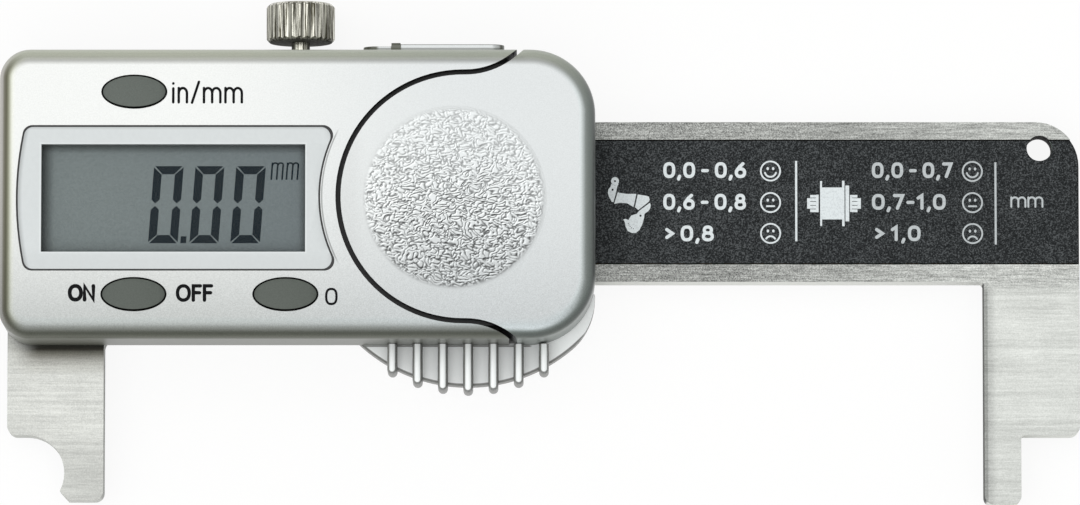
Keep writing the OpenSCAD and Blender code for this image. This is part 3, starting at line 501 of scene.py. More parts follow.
pictures = bmesh.new()
drawn(oval((90, 100), 36, 36, steps=28), oval((90, 100), 9, 9, steps=12))
drawn([(57, 126), (50, 150), (30, 175), (25, 205), (35, 240), (60, 285), (75, 290), (100, 200), (110, 150),
       (124, 122), (90, 140)], oval((68, 178), 10, 10, steps=12))
drawn([(115, 200), (130, 205), (190, 215), (282, 215), (258, 328), (250, 330), (200, 300), (140, 295),
       (82, 305)])
drawn([(295, 220), (370, 232), (395, 240), (402, 265), (395, 285), (300, 360), (270, 335)])
drawn([(405, 295), (412, 320), (405, 350), (390, 370), (355, 395), (352, 430), (335, 490), (310, 540),
       (280, 565), (245, 568), (205, 550), (185, 510), (178, 470), (165, 445), (185, 440), (210, 450),
       (235, 410), (285, 395), (310, 365)],
      oval((320, 412), 10, 10, steps=12),
      *(oval(dot, 4.5, 4.5, steps=8) for dot in ((210, 482), (216, 496), (225, 509), (238, 521), (255, 529))))
HUB_Y = -0.14
for x0, x1, half in ((49.98, 50.28, 0.52), (50.86, 51.11, 0.87), (51.26, 51.45, 2.22), (51.45, 53.42, 1.58),
                     (53.42, 53.66, 2.25), (53.75, 54.12, 1.77), (54.20, 54.39, 0.84), (54.93, 55.27, 0.52)):
    bar(x0, x1, HUB_Y - half, HUB_Y + half, pictures)
for x0, x1 in ((50.28, 50.86), (54.39, 54.93)):
    for low_y, high_y in ((-0.86, -0.58), (-0.52, -0.22), (-0.16, 0.16), (0.22, 0.52), (0.58, 0.84)):
        bar(x0, x1, HUB_Y + low_y, HUB_Y + high_y, pictures)
shown("label_pictures", tidy_normals(pictures), light_ink.material, "beam", "black_print")


# Stop screw: a small cross-head screw of turned steel in the blade's back.
# Its head runs in a slot of the slider frame and ends the slider's travel.
bright_steel = brushed(
    "bright_steel", (0.66, 0.66, 0.64), (0.44, 0.44, 0.42), 0.26, stretch=(1, 1, 1), depth=0.003)
coat(bright_steel, "stop_screw")


# Slider frame: a milled and ground body that runs on the blade and carries the moving jaw below.
# It is the same bright steel as the blade, in one piece with its jaw.
def jaw_shadow_and_tone(steel, grain, streaks):
    """A shadow of the housing is painted on the jaw under its edge, following its corner, and the jaw is darker
    towards its tip.
    """
    aside, below = (-26.1 - steel.x).high(0), (-11.2 - steel.y).high(0)
    clear = steel.wire.sums("SQRT", aside * aside + below * below) - 2.5
    housing_shadow = (clear / 4).ramp(
        (0.0, (0.10, 0.10, 0.09)), (0.08, (0.06, 0.06, 0.055)), (0.18, (0.05, 0.048, 0.042)),
        (0.22, (0.075, 0.07, 0.06)), (0.26, (0.19, 0.185, 0.165)), (0.35, (0.36, 0.35, 0.32)),
        (0.45, (0.56, 0.55, 0.53)), (0.57, (0.82, 0.81, 0.79)), (0.72, (0.96, 0.955, 0.94)),
        (0.85, (1.0, 1.0, 1.0)))
    housing_shadow = (0.30 + 0.70 * steel.x.rise(-28.2, -25.4)).mix((1.0, 1.0, 1.0), housing_shadow)
    return housing_shadow * (0.83 - 0.15 * (-steel.y).rise(21, 27))


# The frame's walls are painted greys by the way they face, as light and shade.
slider_steel = brushed("slider_steel", (0.65, 0.66, 0.635), (0.41, 0.415, 0.40), 0.30,
                       sides=(0.30, 0.42, 0.60, 0.16), tone_and_shade=jaw_shadow_and_tone)
softened("slider_frame", "slider_body", 0.05, slider_steel, "slider", "steel")


# Gib strip and its two set screws: a soft brass strip between the frame and the blade's edge.
# The steel screws press on it from the frame's upper side, which takes up the play.
gib_brass = brushed("gib_brass", (0.80, 0.60, 0.28), (0.52, 0.38, 0.17), 0.30, stretch=(30, 1, 1))
coat(gib_brass, "gib_strip")
coat(bright_steel, "gib_screws")


# Thumb rest: a moulded pad with seven upright ribs, let into a seat of the frame below the housing.
# It is painted the housing's silver, fine aluminium flake under a satin lacquer, with painted shade on its
# roundings, walls and rim.
def silver(name, dark, light, edges, wall, sharp):
    """Flake paint: dark to light on the flats, with painted shade on roundings, one colour for those that face
    down and right and one for those that face up and left, and a darker painted wall. Gives the paint, its
    colour, its two grains and where it faces the front."""
    paint = Finish(name)
    flake = paint.noise(0.11, 2, 0.65)
    fine = paint.noise(0.05, 1, 0.6)
    cloud = paint.noise(7, 2)
    across, up, out = paint.facing()
    tone = 0.62 + 1.3 * (flake - 0.5) + 0.7 * (fine - 0.5) + 0.3 * (cloud - 0.5)
    flat = abs(out)
    # Roundings and walls take painted shade by the way they face.
    way = (0.5 + 0.7 * (up - across) * (1.25 - flat)).rise(0.2, 0.8)
    turned = (1 - flat.rise(*sharp)) * (0.85 + 0.5 * (flake - 0.5))
    colour = turned.mix(tone.mix(dark, light), way.mix(*edges))
    wall_tone = tone.mix(*(tuple(part * share for part in wall) for share in (0.8, 1.2)))
    colour = (1 - flat.rise(0.02, 0.22)).mix(colour, wall_tone)
    return paint, colour, flake, fine, out.rise(0.3, 0.6)


def paint_over(paint, colour, flake, fine, metal=0.45, rough=0.36):
    return paint.shade(
        Base_Color=colour, Metallic=metal, Roughness=rough + 0.12 * (flake - 0.5),
        Normal=paint.bump(flake * 0.6 + fine * 0.4, 0.007))


HOUSING_HALF_W = 14.2
REST_X, REST_Y, REST_R = 16.65, -2.4, 15.8
RIB_H = 2.1
rest_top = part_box("thumb_rest")[1][2] / MM
rest, rest_colour, *rest_flake, rest_front = silver(
    "rest_coat", dark=(0.90, 0.93, 0.95), light=(0.97, 0.99, 1.0), wall=(0.105, 0.105, 0.095),
    edges=((0.06, 0.06, 0.055), (0.11, 0.11, 0.10)), sharp=(0.72, 0.90))
on_plate = 1 - (rest.z - rest_top + RIB_H).rise(-0.05, 0.05)
# The plate's curved rim and a line under the housing's edge are painted dark, as shade.
outline = (REST_R - reach(rest, REST_X, REST_Y)).rise(0.16, 0.26)
under = -rest.y - HOUSING_HALF_W
under_edge_shade = (1 - (under + 0.20).rise(0, 0.06)).high((1 - (abs(under - 0.09) - 0.06).rise(0, 0.05)) * 0.9)
under_edge_shade = under_edge_shade.high((1 - under.rise(-0.05, 0.0)) * 0.5) * (1 - rest.x.rise(22.6, 23.0))
rest_colour = (rest_front * on_plate * (1 - outline).high(under_edge_shade) * 0.85).mix(rest_colour, (0.07, 0.07, 0.06))
rest_coat = paint_over(rest, rest_colour, *rest_flake, metal=0.05)
softened("thumb_rest", "thumb_rest_ribs", 0.08, rest_coat, "slider", "silver_paint")


# Housing screws: four cross-head screws of turned steel.
# They come up through the frame's back and hold the housing to it.
coat(bright_steel, "housing_screws")


# Circuit board with its reader chip, switch domes and screws: green lacquer over copper tracks.
# The chip is a drop of black resin. The domes and the screws that hold the board are bright steel.
board_lacquer = Finish("board_lacquer")
tracks = board_lacquer.noise(1.6, 1, 0.3, (3, 0.6, 1)).rise(0.52, 0.55)
board_lacquer.shade(
    Base_Color=tracks.mix((0.015, 0.10, 0.045), (0.03, 0.19, 0.08)), Roughness=0.32 + 0.1 * tracks,
    Coat_Weight=0.4, Normal=board_lacquer.bump(tracks, 0.03))
coat(board_lacquer.material, "circuit_board")
chip_resin = Finish("chip_resin")
resin_grain = chip_resin.noise(0.15, 3)
chip_resin.shade(Base_Color=resin_grain.mix((0.012, 0.012, 0.013), (0.035, 0.035, 0.036)),
                 Roughness=0.45 + 0.2 * resin_grain, Normal=chip_resin.bump(resin_grain, 0.01))
coat(chip_resin.material, "reader_chip")
coat(bright_steel, "switch_domes", "board_screws")


# Coin cell: a nickel-plated can with its plus sign, in the bay under the battery cover.
# Its two spring contacts are stamped from a copper alloy and bear on its rim and its underside.
PLUS_HALF = 1.6
coat(gib_brass, "cell_contact_bottom", "cell_contact_top")
coat(brushed("cell_can", (0.70, 0.70, 0.68), (0.52, 0.52, 0.50), 0.24, stretch=(1, 20, 1)), "coin_cell")
cell_low, cell_high = (Vector(v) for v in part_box("coin_cell"))
cell_x, cell_y = (cell_low.x + cell_high.x) / 2 / MM, (cell_low.y + cell_high.y) / 2 / MM
stamp = bmesh.new()
lettering(stamp, "+", cell_high.z / MM, cell_x - PLUS_HALF, cell_y - PLUS_HALF,
          cell_x + PLUS_HALF, cell_y + PLUS_HALF, 0.5)
shown("cell_plus_mark", tidy_normals(stamp), chip_resin.material, "slider", "steel")


# Display: rubber connector strips and a black carrier hold the glass, a grey reflective panel.
# Its lit segments show 0.00 and the unit. The segments are thin films under the front polariser.
zebra = Finish("zebra_rubber")
bands = (zebra.x * 5).sums("FRACT", zebra.x * 5).rise(0.4, 0.6)
zebra.shade(Base_Color=bands.mix((0.02, 0.02, 0.02), (0.35, 0.33, 0.30)), Roughness=0.75)
coat(zebra.material, "connector_strips")
coat(chip_resin.material, "display_carrier")

panel = Finish("panel_glass")
haze = panel.noise(0.16, 2, 0.6)
# The panel is painted darker along the window's edges, most at the left and top, as the shadow of the window's
# recess.
recess_shadow = ((0.20 + 0.80 * ((panel.x + 24.95) / 1.2).held()) * (0.36 + 0.64 * ((4.80 - panel.y) / 0.75).held())
       * (0.50 + 0.50 * ((0.85 - panel.x) / 0.8).held()) * (0.60 + 0.40 * ((panel.y + 5.80) / 0.45).held()))
grey_green = panel.x.rise(-22, 0).mix((0.168, 0.198, 0.202), (0.148, 0.176, 0.186))
panel.shade(
    Base_Color=grey_green * (recess_shadow * (0.70 + 0.60 * haze)),
    Roughness=0.5 + 0.1 * haze, Specular_IOR_Level=0.12, Normal=panel.bump(haze, 0.004))
coat(panel.material, "lcd_glass")
GLASS_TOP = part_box("lcd_glass")[1][2] / MM

segment_ink = Finish("segment_ink")
veil = segment_ink.noise(0.3, 2)
segment_ink.shade(Base_Color=veil.mix((0.004, 0.009, 0.014), (0.009, 0.016, 0.022)), Roughness=0.7,
                  Specular_IOR_Level=0.02)

LEAN = math.tan(math.radians(4.3))
segments = bmesh.new()


def slanted(points, foot):
    return [(x + (y - foot) * LEAN, y) for x, y in points]


def segment(outlines, thick=0.01):
    plate(outlines, GLASS_TOP, GLASS_TOP + thick, segments)


def digit_zero(left, right, low, high, w=0.80, slit=0.07):
    """The six lit segments of a nought, w wide, with mitred corners, between its upright sides."""
    mid = (low + high) / 2
    mitre = slit * 1.6
    lit = [[(left + w + slit, inner), (right - w - slit, inner),
            (right - mitre, outer), (left + mitre, outer)]
           for outer, inner in ((high, high - w), (low, low + w))]
    for side, outer, inner in ((1, left, left + w), (-1, right, right - w)):
        tip = outer + side * w / 2
        for end, step in ((high, -1), (low, 1)):
            lit.append([(outer, end + step * mitre), (inner, end + step * (w + slit * 0.6)),
                        (inner, mid - step * 0.50), (tip, mid - step * 0.12), (outer, mid - step * 0.50)])
    for outline in lit:
        segment([slanted(outline, low)])


DIGIT_LOW, DIGIT_HIGH = -4.78, 2.79
slip = (DIGIT_HIGH - DIGIT_LOW) * LEAN
for left, right in ((-14.57, -11.11), (-10.53, -7.13), (-6.54, -3.08)):
    digit_zero(left, right - slip, DIGIT_LOW, DIGIT_HIGH)
POINT_LEFT, POINT_RIGHT, POINT_TOP = -11.42, -10.86, -4.10
segment([slanted([(POINT_LEFT, DIGIT_LOW), (POINT_RIGHT, DIGIT_LOW), (POINT_RIGHT, POINT_TOP),
                  (POINT_LEFT, POINT_TOP)], DIGIT_LOW)])
foot, head, stem_pitch = 1.45, 3.14, 0.53
for left in (-2.56, -1.08):
    for x in (left, left + stem_pitch, left + stem_pitch * 2):
        segment(ribbon(slanted([(x, foot), (x, head - (0.16 if x > left else 0))], foot), 0.17, square=True))
    for x in (left, left + stem_pitch):
        bow = arc((x + 0.28, head - 0.24), (0.25, 0.20), 150, 10, 8)
        segment(ribbon(slanted([(x + 0.06, head - 0.20)] + bow, foot), 0.16), 0.0104)
shown("display_segments", tidy_normals(segments), segment_ink.material, "slider", "lens")


# Front housing: moulded shell in silver paint, rounded all round, with the printed names of its keys.
# It is sprayed from outside only, so its inside, the key holes and the groove's walls are bare dark plastic;
# its near-black colour also stands for the shade in them.
# The front is painted paler above and darker towards the bottom, and the rolled rim in bands, as painted light
# and shade.
def front_shading(paint):
    """The paint's colour on the flat front, darker towards the bottom as painted shade, and how far down the
    front a place is.
    """
    downward_shade = paint.wire.sums("POWER", ((12 - paint.y) / 24).held(), 2.6)
    along = paint.x.rise(-12, 18)
    return downward_shade, downward_shade.mix(along.mix((0.680, 0.690, 0.688), (0.572, 0.592, 0.605)),
                          along.mix((0.415, 0.430, 0.428), (0.435, 0.455, 0.467)))


HOUSING_HALF_L = 29.1
BAY_C = (16.2, -0.33)
ROLL = 1.2
ROLL_Z = 12.3
RIM_W = 2.2
BARE_PLASTIC = (0.010, 0.010, 0.011)


def sprayed(name, lip, low_rim_shading, lens_side_shade_share=0.0):
    """The shells' paint, with painted light and shade on its rim and round the lens. Lip is how deep it wraps
    over an inner edge, low_rim_shading its painted bands by millimetres from the lower side, and
    lens_side_shade_share how much the place beside the lens is darkened as shade."""
    paint = Finish(name)
    flake = paint.noise(0.11, 2, 0.65)
    fine = paint.noise(0.05, 1, 0.6)
    across, up, out = paint.facing()
    corner = 3 + 3.4 * paint.x.rise(-0.1, 0.1)
    over_x, over_y = abs(paint.x) - HOUSING_HALF_L + corner, abs(paint.y) - HOUSING_HALF_W + corner
    past_x, past_y = over_x.high(0), over_y.high(0)
    round_reach = past_x * past_x + past_y * past_y
    inset = corner - paint.wire.sums("SQRT", round_reach) - over_x.high(over_y).low(0)
    band = inset / RIM_W
    # The rolled rim's bands of painted light and shade, by distance from the outline: one row for the ends, one
    # for each side.
    ends = paint.x.rise(-1, 1).mix(
        band.ramp((0.0, (0.70, 0.67, 0.63)), (0.14, (0.68, 0.65, 0.62)), (0.23, (0.33, 0.31, 0.25)),
                  (0.32, (0.17, 0.165, 0.11)), (0.39, (0.235, 0.235, 0.165)), (0.455, (0.43, 0.43, 0.335)),
                  (0.545, (0.84, 0.85, 0.755)), (0.615, (1.0, 1.0, 0.95)), (0.73, (1.0, 1.0, 1.0))),
        band.ramp((0.0, (0.45, 0.47, 0.45)), (0.045, (0.28, 0.29, 0.28)), (0.09, (0.22, 0.235, 0.225)),
                  (0.23, (0.33, 0.36, 0.34)), (0.365, (0.395, 0.423, 0.40)), (0.455, (0.418, 0.445, 0.43)),
                  (0.545, (0.60, 0.63, 0.62)), (0.615, (0.85, 0.88, 0.87)), (0.68, (0.97, 1.0, 1.0)),
                  (0.73, (1.0, 1.0, 1.0))))
    sides = paint.y.rise(-1, 1).mix(
        band.ramp(*((place / RIM_W, colour) for place, colour in low_rim_shading)),
        band.ramp((0.0, (0.66, 0.67, 0.59)), (0.14, (0.73, 0.75, 0.645)), (0.295, (0.755, 0.77, 0.66)),
                  (0.385, (0.60, 0.61, 0.535)), (0.50, (0.475, 0.475, 0.445)), (0.56, (0.525, 0.525, 0.515)),
                  (0.64, (0.745, 0.745, 0.735)), (0.74, (1.0, 1.0, 1.0))))
    rim = (past_x * past_x / round_reach.high(0.0001)).mix(sides, ends)
    downward_shade, plain = front_shading(paint)
    # A painted highlight on inner edges that do not face down.
    lit_edge = inset.rise(1.3, 1.6) * (1 - out.rise(0.85, 0.995)) * (1 - (-up).rise(0.3, 0.7))
    tone = 1 + (0.30 + 0.50 * downward_shade) * (flake - 0.5) + 0.35 * lit_edge
    bevel = ROLL - inset.held(ROLL)
    under = ROLL_Z + paint.wire.sums("SQRT", ROLL * ROLL - bevel * bevel) - paint.z
    thin = ((-paint.y).rise(2.0, 6.0) * paint.x.rise(3.4, 3.6) * (1 - paint.x.rise(9.0, 12.0))
            * inset.rise(1.0, 1.4))
    # The near-black bare plastic reaches further over inner edges that face down or right, as painted shade.
    wide = 0.10 * (-up).high(across).rise(0.2, 0.6) * inset.rise(1.3, 1.6) * (1 - thin)
    bare = inset.rise(0.08, 0.14) * (under + wide - thin * 0.35).rise(lip, lip + 0.10)
    lens_side = reach(paint, *BAY_C)
    # A dark line by the lens's hollow side is painted shade of the recess's edge.
    recess_line_shade = ((lens_side - 13.70).rise(0, 0.05) * (1 - (lens_side - 13.84).rise(0, 0.05))
               * (1 - paint.x.rise(3.6, 4.2)))
    # The place beside the lens is painted darker, as shade.
    lens_side_shade = (lens_side_shade_share * paint.x.rise(2.0, 3.0) * (1 - paint.x.rise(5.0, 7.0))
           * (1 - abs(paint.y).rise(5.0, 8.0)))
    painted = rim * plain * (tone * (1 - 0.5 * recess_line_shade) * (1 - lens_side_shade))
    return paint_over(paint, bare.mix(painted, BARE_PLASTIC), flake, fine)


# The housing's lower rim bands of painted light and shade, by millimetres from its lower edge.
softened("front_housing", "housing_shell", 0.06, sprayed("housing_coat", 0.06, (
    (0.0, (0.31, 0.315, 0.265)), (0.1, (0.31, 0.31, 0.26)), (0.2, (0.29, 0.295, 0.24)),
    (0.3, (0.255, 0.26, 0.215)), (0.5, (0.22, 0.225, 0.188)), (0.7, (0.26, 0.265, 0.235)),
    (0.9, (0.335, 0.343, 0.32)), (1.1, (0.47, 0.48, 0.46)), (1.3, (0.71, 0.725, 0.715)),
    (1.5, (0.865, 0.885, 0.877)), (1.8, (0.945, 0.97, 0.97)), (2.1, (1.0, 1.0, 1.0)))),
         "slider", "silver_paint")

key_ink = Finish("key_ink")
ink_grain = key_ink.noise(0.12, 2)
key_ink.shade(Base_Color=ink_grain.mix((0.004, 0.0045, 0.005), (0.012, 0.013, 0.014)), Roughness=0.7,
              Specular_IOR_Level=0.05)
FRONT = 13.5
names = bmesh.new()
lettering(names, "in/mm", FRONT, -12.22, 8.76, -5.28, 10.90, 0.25, gap=0.30)
lettering(names, "ON", FRONT, -22.30, -10.66, -19.62, -8.94, 0.38, gap=0.26)
lettering(names, "OFF", FRONT, -11.78, -10.69, -8.13, -8.95, 0.34, gap=0.28)
lettering(names, "0", FRONT, 2.76, -11.01, 3.99, -9.31, 0.23)
shown("key_names", tidy_normals(names), key_ink.material, "slider", "black_print")


# Display lens: a clear acrylic plate let into the housing, printed light grey on its back round the window.
# The printed border and the clear pane are made apart, with a thin black ring in the gap round the plate as
# painted shadow.
LENS_LOW, LENS_TOP = (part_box("display_lens")[i][2] / MM for i in (0, 1))
LENS_Y, LENS_HALF = -0.49, 7.075
LENS_X0, SIDE_R, CORNER_R, HORN_R = -27.35, 32.0, 0.9, 0.95
BAY_R = 14.0


def lens_outline(inset):
    """Bowed left side, right side hollowed round the battery cover, and four rounded corners."""
    half = LENS_HALF - inset
    side_c = LENS_X0 + SIDE_R
    points = []
    for s in (1, -1):
        horn_y = LENS_Y + s * (half - HORN_R)
        horn_reach = BAY_R + inset + HORN_R
        horn_x = BAY_C[0] - math.sqrt(horn_reach ** 2 - (horn_y - BAY_C[1]) ** 2)
        inward = math.degrees(math.atan2(BAY_C[1] - horn_y, BAY_C[0] - horn_x))
        horn = arc((horn_x, horn_y), (HORN_R, HORN_R), s * 90, inward, 12)
        hollow_turn = inward + s * 180
        corner_y = half - CORNER_R
        turn = math.degrees(math.asin(corner_y / (SIDE_R - CORNER_R)))
        corner_x = side_c - (SIDE_R - inset - CORNER_R) * math.cos(math.radians(turn))
        corner = arc(
            (corner_x, LENS_Y + s * corner_y), (CORNER_R, CORNER_R), 180 - s * turn, 180 - s * 90, 10)
        points.append((corner, horn, hollow_turn))
    (top_corner, top_horn, top_turn), (low_corner, low_horn, low_turn) = points
    hollow = arc(BAY_C, (BAY_R + inset,) * 2, top_turn % 360, low_turn % 360, 48)[1:-1]
    side = arc((side_c, LENS_Y), (SIDE_R - inset,) * 2, 193, 167, 30)
    side = [p for p in side if abs(p[1] - LENS_Y) < abs(top_corner[0][1] - LENS_Y) - 0.05]
    return top_corner + top_horn + hollow + low_horn[::-1] + low_corner[::-1] + side


PANE_X0, PANE_X1, PANE_Y0, PANE_Y1 = -24.95, 0.80, -5.765, 4.785
WINDOW = [(PANE_X0, PANE_Y0), (PANE_X1, PANE_Y0), (PANE_X1, PANE_Y1), (PANE_X0, PANE_Y1)]
border_print = Finish("border_print")
speck = border_print.noise(0.4, 3)
# Painted shade darkens the border near its top, its bowed left side and a little at the bottom; a painted
# highlight lightens it round the window.
beside = ((PANE_X0 - border_print.x).high(border_print.x - PANE_X1)
          .high(PANE_Y0 - border_print.y).high(border_print.y - PANE_Y1))
edge_shade = ((0.72 + 0.28 * (LENS_Y + LENS_HALF - border_print.y).rise(0.08, 0.45))
              * (0.62 + 0.38 * (SIDE_R - reach(border_print, LENS_X0 + SIDE_R, LENS_Y)).rise(0.08, 0.60))
              * (1.10 - 0.10 * beside.rise(0.10, 0.22)) * (1 - 0.06 * (-border_print.y).rise(5.0, 7.0)))
border_print.shade(
    Base_Color=speck.mix((0.570, 0.600, 0.618), (0.615, 0.648, 0.665)) * edge_shade,
    Roughness=0.22, Coat_Weight=0.6, Coat_Roughness=0.08)
border = plate([lens_outline(0.12), WINDOW], LENS_LOW, LENS_TOP)
lens_border = shown(
    "lens_border", tidy_normals(border), border_print.material, "slider", "lens", "display_lens")
soften(lens_border, 0.07)

pane_acrylic = Finish("pane_acrylic")
smear = pane_acrylic.noise(3, 3)
pane_acrylic.shade(
    Base_Color=(0.60, 0.64, 0.64), Alpha=0.008 + 0.008 * smear, Roughness=0.12 + 0.06 * smear,
    Specular_IOR_Level=0.2)
# A thin black ring in the gap round the lens plate stands for its shadow.
shade_ring = bmesh.new()
plate([lens_outline(-0.055), lens_outline(0.30)], LENS_LOW + 0.02, LENS_TOP - 0.06, shade_ring)
shown("lens_shade_ring", tidy_normals(shade_ring), chip_resin.material, "slider", "lens")
pane = plate([[(x * 0.999 - 0.012, y * 0.998 - 0.001) for x, y in WINDOW]], LENS_TOP - 0.20, LENS_TOP - 0.005)
shown("lens_pane", tidy_normals(pane), pane_acrylic.material, "slider", "lens")


# Keys: three oval push keys of grey rubber, crowned, each with a dark slit round it.
# Each stands in a hole of the housing, over its snap dome on the board.
key_rubber = Finish("key_rubber")
dust = key_rubber.noise(0.12, 3, 0.6)
across, up, out = key_rubber.facing()
# The keys' rounded edges are painted darker, most where they face down and right, as shade; the lower keys are
# a darker grey.
turned_away = (1 - out.rise(0.80, 0.985)) * (0.45 + 0.50 * (0.7 * across - up).rise(-0.1, 0.5))
key_rubber.shade(
    Base_Color=key_rubber.y.rise(-1, 1).mix((0.079, 0.092, 0.081), (0.096, 0.111, 0.100))
    * ((0.62 + 0.76 * dust) * (1 - turned_away)),
    Roughness=0.50 + 0.15 * dust, Normal=key_rubber.bump(dust, 0.006))
for node, name in (("unit_button", "unit_key"), ("power_button", "power_key"), ("zero_button", "zero_key")):
    softened(node, name, 0.17, key_rubber.material, node, "button_grey")


# Battery cover: round-ended slide cover of the housing, painted with it.
# The thumb's place on it is a disc of leather grain moulded into the front, that fades out at its rim.
# The cover's rim bands of painted light and shade, and shade painted beside the lens.
softened("battery_cover", "battery_slide_cover", 0.06, sprayed("cover_coat", 0.0, (
    (0.0, (0.475, 0.515, 0.47)), (0.1, (0.30, 0.32, 0.29)), (0.2, (0.235, 0.26, 0.232)),
    (0.35, (0.26, 0.285, 0.265)), (0.5, (0.355, 0.39, 0.363)), (0.6, (0.477, 0.52, 0.50)),
    (0.7, (0.647, 0.697, 0.686)), (0.8, (0.875, 0.933, 0.931)), (0.9, (0.97, 1.02, 1.02)),
    (1.0, (1.02, 1.06, 1.08)), (1.1, (1.0, 1.05, 1.06)), (1.3, (0.96, 1.0, 1.01)),
    (2.0, (1.0, 1.0, 1.0))), lens_side_shade_share=0.07), "battery_cover", "silver_paint")

GRAIN_C, GRAIN_R, GRAIN_H = (15.30, -0.49), 9.05, 0.060
GRAIN_LIFT = 0.002


def wrinkle(x, y):
    """Height of the leather grain, 0 to 1: narrow winding creases, mostly level, between plump worms."""
    bend = noise.noise((x * 1.1, y * 1.3, 3.0)) * 0.45
    sway = noise.noise((x * 1.1, y * 1.3, 9.0)) * 0.30
    one = abs(noise.noise(((x + bend) * 2.3, (y + sway + 0.10 * x) * 3.5, 5.0)))
    return min(1.0, one * 3.6) ** 0.8


grain_coat = Finish("grain_coat")
plump = (grain_coat.z - FRONT) / GRAIN_H
downward_shade, plain = front_shading(grain_coat)
inner = 1 - reach(grain_coat, *GRAIN_C).rise(GRAIN_R - 0.7, GRAIN_R - 0.05)
# The creases are painted darker, more towards the bottom, as shade.
crease_shade = (1 - plump.rise(0.05, 0.75)) * inner * (0.46 + 0.44 * (-grain_coat.y).rise(-7, 6))
across, up, _ = grain_coat.facing()
# Slopes that face up and left are painted lighter and those that face down and right darker, as light and
# shade.
slope_light = 1 + inner * (1.3 + 1.5 * (-grain_coat.y).rise(-7, 6)) * (up - 0.5 * across)
grain_flake = grain_coat.noise(0.11, 2, 0.65)
# The disc is painted a little lighter, and darker towards its bottom, as light and shade.
disc_shading = 1.0 + 0.17 * inner - 0.20 * inner * (-grain_coat.y).rise(0, 8)
grain_coat.shade(
    Base_Color=plain * (disc_shading * (1 - crease_shade) * slope_light),
    Metallic=0.45, Roughness=0.36 + 0.1 * grain_flake, Normal=grain_coat.bump(grain_flake, 0.006))
grain = bmesh.new()
rings, spokes = 160, 720
centre = grain.verts.new((GRAIN_C[0] * MM, GRAIN_C[1] * MM, (FRONT + GRAIN_H * wrinkle(*GRAIN_C)) * MM))
last = [centre]
for ring in range(1, rings + 1):
    r = GRAIN_R * ring / rings
    fade = min(1.0, (GRAIN_R - r) / 0.6)
    now = []
    for i in range(spokes):
        turn = 2 * math.pi * i / spokes
        x, y = GRAIN_C[0] + r * math.cos(turn), GRAIN_C[1] + r * math.sin(turn)
        z = FRONT + GRAIN_LIFT * (ring < rings) + GRAIN_H * fade * wrinkle(x, y)
        now.append(grain.verts.new((x * MM, y * MM, z * MM)))
    for i in range(spokes):
        if ring == 1:
            grain.faces.new((centre, now[i - 1], now[i]))
        else:
            grain.faces.new((last[i - 1], now[i - 1], now[i], last[i]))
    last = now
grain_piece = shown("grained_disc", tidy_normals(grain), grain_coat.material, "battery_cover", "silver_paint")
grain_piece.data.shade_smooth()


# Data port cover: a small slide cover on the housing's upper side, in the same silver.
# It is moulded with a raised grip for the nail, and slides right to bare the socket.
port_paint, port_colour, *port_flake, port_front = silver(
    "port_coat", dark=(0.56, 0.58, 0.59), light=(0.70, 0.72, 0.735), wall=(0.36, 0.365, 0.33),
    edges=((0.10, 0.10, 0.09), (0.20, 0.205, 0.18)), sharp=(0.6, 0.95))
port_high = Vector(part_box("data_port_cover")[1]) / MM
# Its top strip and its lower part, where it meets the housing, are painted dark as shade.
port_shade_lines = ((port_paint.y - (port_high.y - 0.27)).rise(0, 0.05)
             .high((1 - (port_paint.y - (port_high.y - 0.55)).rise(0, 0.06)) * 0.7)) * port_front
grip = 1 - (abs(port_paint.x - 9.6) - 0.5).rise(-0.05, 0.05)
right_end = port_paint.x.rise(port_high.x - 0.5, port_high.x - 0.3)
# The left and right ends are painted nearly black, as shade, and the grip is painted nearly black too.
end_shade = (1 - port_paint.x.rise(7.6, 8.0)).high(right_end * 0.8)
port_colour = (port_shade_lines * 0.85).mix(port_colour, (0.10, 0.105, 0.09))
port_coat = paint_over(
    port_paint, (grip.high(end_shade) * port_front * 0.9).mix(port_colour, (0.06, 0.063, 0.042)), *port_flake)
softened("data_port_cover", "data_port_slide_cover", 0.05, port_coat, "data_port_cover", "silver_paint")


# Lock screw: a nickel-plated brass thumb screw with a straight knurl, in the frame's upper side.
# It presses a small brass pad on the gib strip, which locks the slider.
coat(gib_brass, "lock_pad")
KNOB_X, KNOB_Z = 0.1, 4.0
nickel = Finish("nickel_plate")
tarnish = nickel.noise(0.20, 2, 0.6, (1, 30, 1))
turned = nickel.noise(0.08, 2, 0.6, (1, 8, 1))
off_x, off_z = nickel.x - KNOB_X, nickel.z - KNOB_Z
from_axis = nickel.wire.sums("SQRT", off_x * off_x + off_z * off_z)
knurl = nickel.y.rise(16.0, 16.2) * (1 - nickel.y.rise(19.35, 19.5))
across, up, out = nickel.facing()
along_spoke = (across * off_x + out * off_z) / from_axis
# The knurl's valleys and flanks, the faces that turn down and the stem are painted dark, as shade.
valley_shade = (1 - from_axis.rise(3.12, 3.36)).high((1 - along_spoke.rise(0.72, 0.95)) * 0.75) * knurl
stem = (1 - nickel.y.rise(15.9, 16.0)) * (1 - out.rise(0.45, 0.85))
shade = ((-up).rise(0.45, 0.85) * 0.85).high(stem * 0.85)
plating = (tarnish * 0.85 + turned * 0.15).rise(0.39, 0.60).mix((0.060, 0.056, 0.036), (0.80, 0.79, 0.71))
turning = nickel.wire.sums("SINE", from_axis * 30) * 0.5 + 0.5
turned_rings = turning.mix((0.50, 0.49, 0.43), (0.64, 0.63, 0.56))
plating = up.rise(0.6, 0.9).mix(plating, turned_rings)
nickel.shade(
    Base_Color=(valley_shade * 0.94).high(shade).mix(plating, (0.022, 0.020, 0.014)), Metallic=1 - 0.9 * shade,
    Roughness=0.18 + 0.10 * tarnish + 0.6 * shade, Normal=nickel.bump(turned, 0.004))
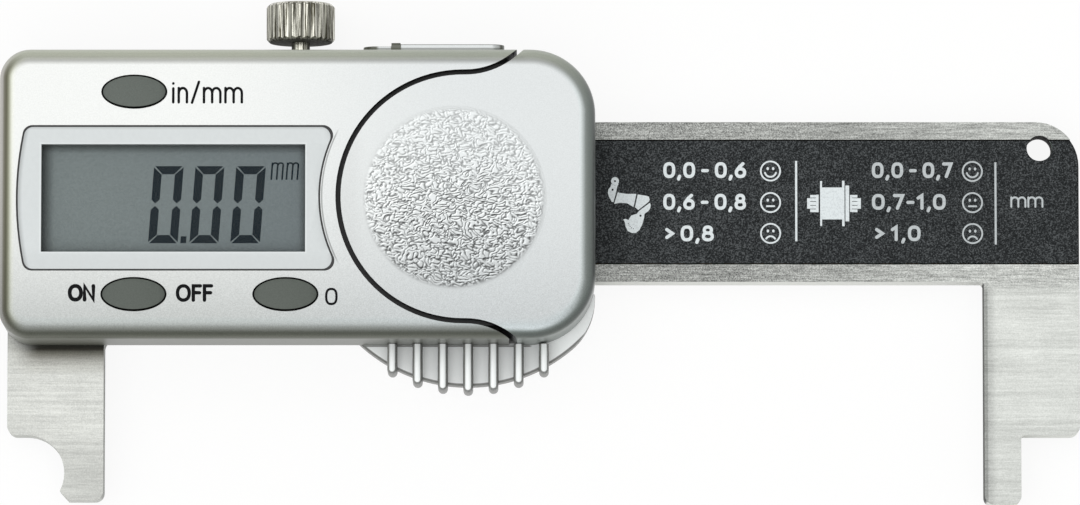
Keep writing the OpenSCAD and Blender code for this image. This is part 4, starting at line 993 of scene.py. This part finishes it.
softened("lock_screw", "lock_thumb_screw", 0.05, nickel.material, "lock_screw", "nickel", angle=35)


# Stand: a plain white table under the gauge, a soft box over it and an even grey room.
# The room sets the tone of the rounded edges, the soft box that of the flat faces.
table_paint = Finish("table_paint")
table_grain = table_paint.noise(2, 2)
seen = table_paint.wire.node("ShaderNodeLightPath", out="Is Camera Ray")
for ray in ("Is Glossy Ray", "Is Transmission Ray"):
    seen = seen.high(table_paint.wire.node("ShaderNodeLightPath", out=ray))
table_paint.shade(Base_Color=table_grain.mix((0.95, 0.95, 0.95), (0.97, 0.97, 0.97)), Roughness=0.9,
                  Specular_IOR_Level=0.1)
lit = table_paint.tree.nodes["Principled BSDF"]
white = table_paint.wire.node("ShaderNodeEmission", {}, {"Color": (1, 1, 1, 1), "Strength": 1.0})
both = table_paint.wire.node("ShaderNodeMixShader", {}, {
    0: seen * 0.88, 1: Wire(table_paint.tree, lit.outputs[0]), 2: white})
table_paint.tree.links.new(both.socket, table_paint.tree.nodes["Material Output"].inputs["Surface"])
table = bmesh.new()
bmesh.ops.create_grid(
    table, x_segments=8, y_segments=8, size=4.0, matrix=Matrix.Translation((0, 0, -0.00002)))
table_mesh = bpy.data.meshes.new("table_top")
table.to_mesh(table_mesh)
table.free()
table_mesh.materials.append(table_paint.material)
table_top = bpy.data.objects.new("table_top", table_mesh)
bpy.context.scene.collection.objects.link(table_top)

room = bpy.data.worlds.new("room")
room.use_nodes = True
room.node_tree.nodes["Background"].inputs["Color"].default_value = (0.55, 0.555, 0.53, 1)
room.node_tree.nodes["Background"].inputs["Strength"].default_value = 1.0
bpy.context.scene.world = room


def soft_box(name, place, target, wide, deep, radiance, colour):
    """A square lamp of that radiance, pointed at the target."""
    lamp = bpy.data.lights.new(name, "AREA")
    lamp.shape = "RECTANGLE"
    lamp.size, lamp.size_y = wide, deep
    lamp.energy = radiance * wide * deep * math.pi
    lamp.color = colour
    made = bpy.data.objects.new(name, lamp)
    made.location = place
    made.rotation_euler = (Vector(target) - Vector(place)).to_track_quat("-Z", "Y").to_euler()
    made.visible_camera = False
    bpy.context.scene.collection.objects.link(made)


soft_box("soft_box", (-0.22, -0.10, 1.15), (0.02, 0, 0), 1.8, 1.5, 1.35, (1.0, 1.0, 1.0))

camera_data = bpy.data.cameras.new("camera")
camera_data.lens = 322.05
camera_data.sensor_width = 36
camera = bpy.data.objects.new("camera", camera_data)
camera.location = (0.0237, -0.1010, 0.9502)
camera.rotation_euler = (math.radians(5.8), 0, 0)
camera_data.clip_start, camera_data.clip_end = 0.01, 20
bpy.context.scene.collection.objects.link(camera)
bpy.context.scene.camera = camera
bpy.context.scene.view_settings.view_transform = "Standard"
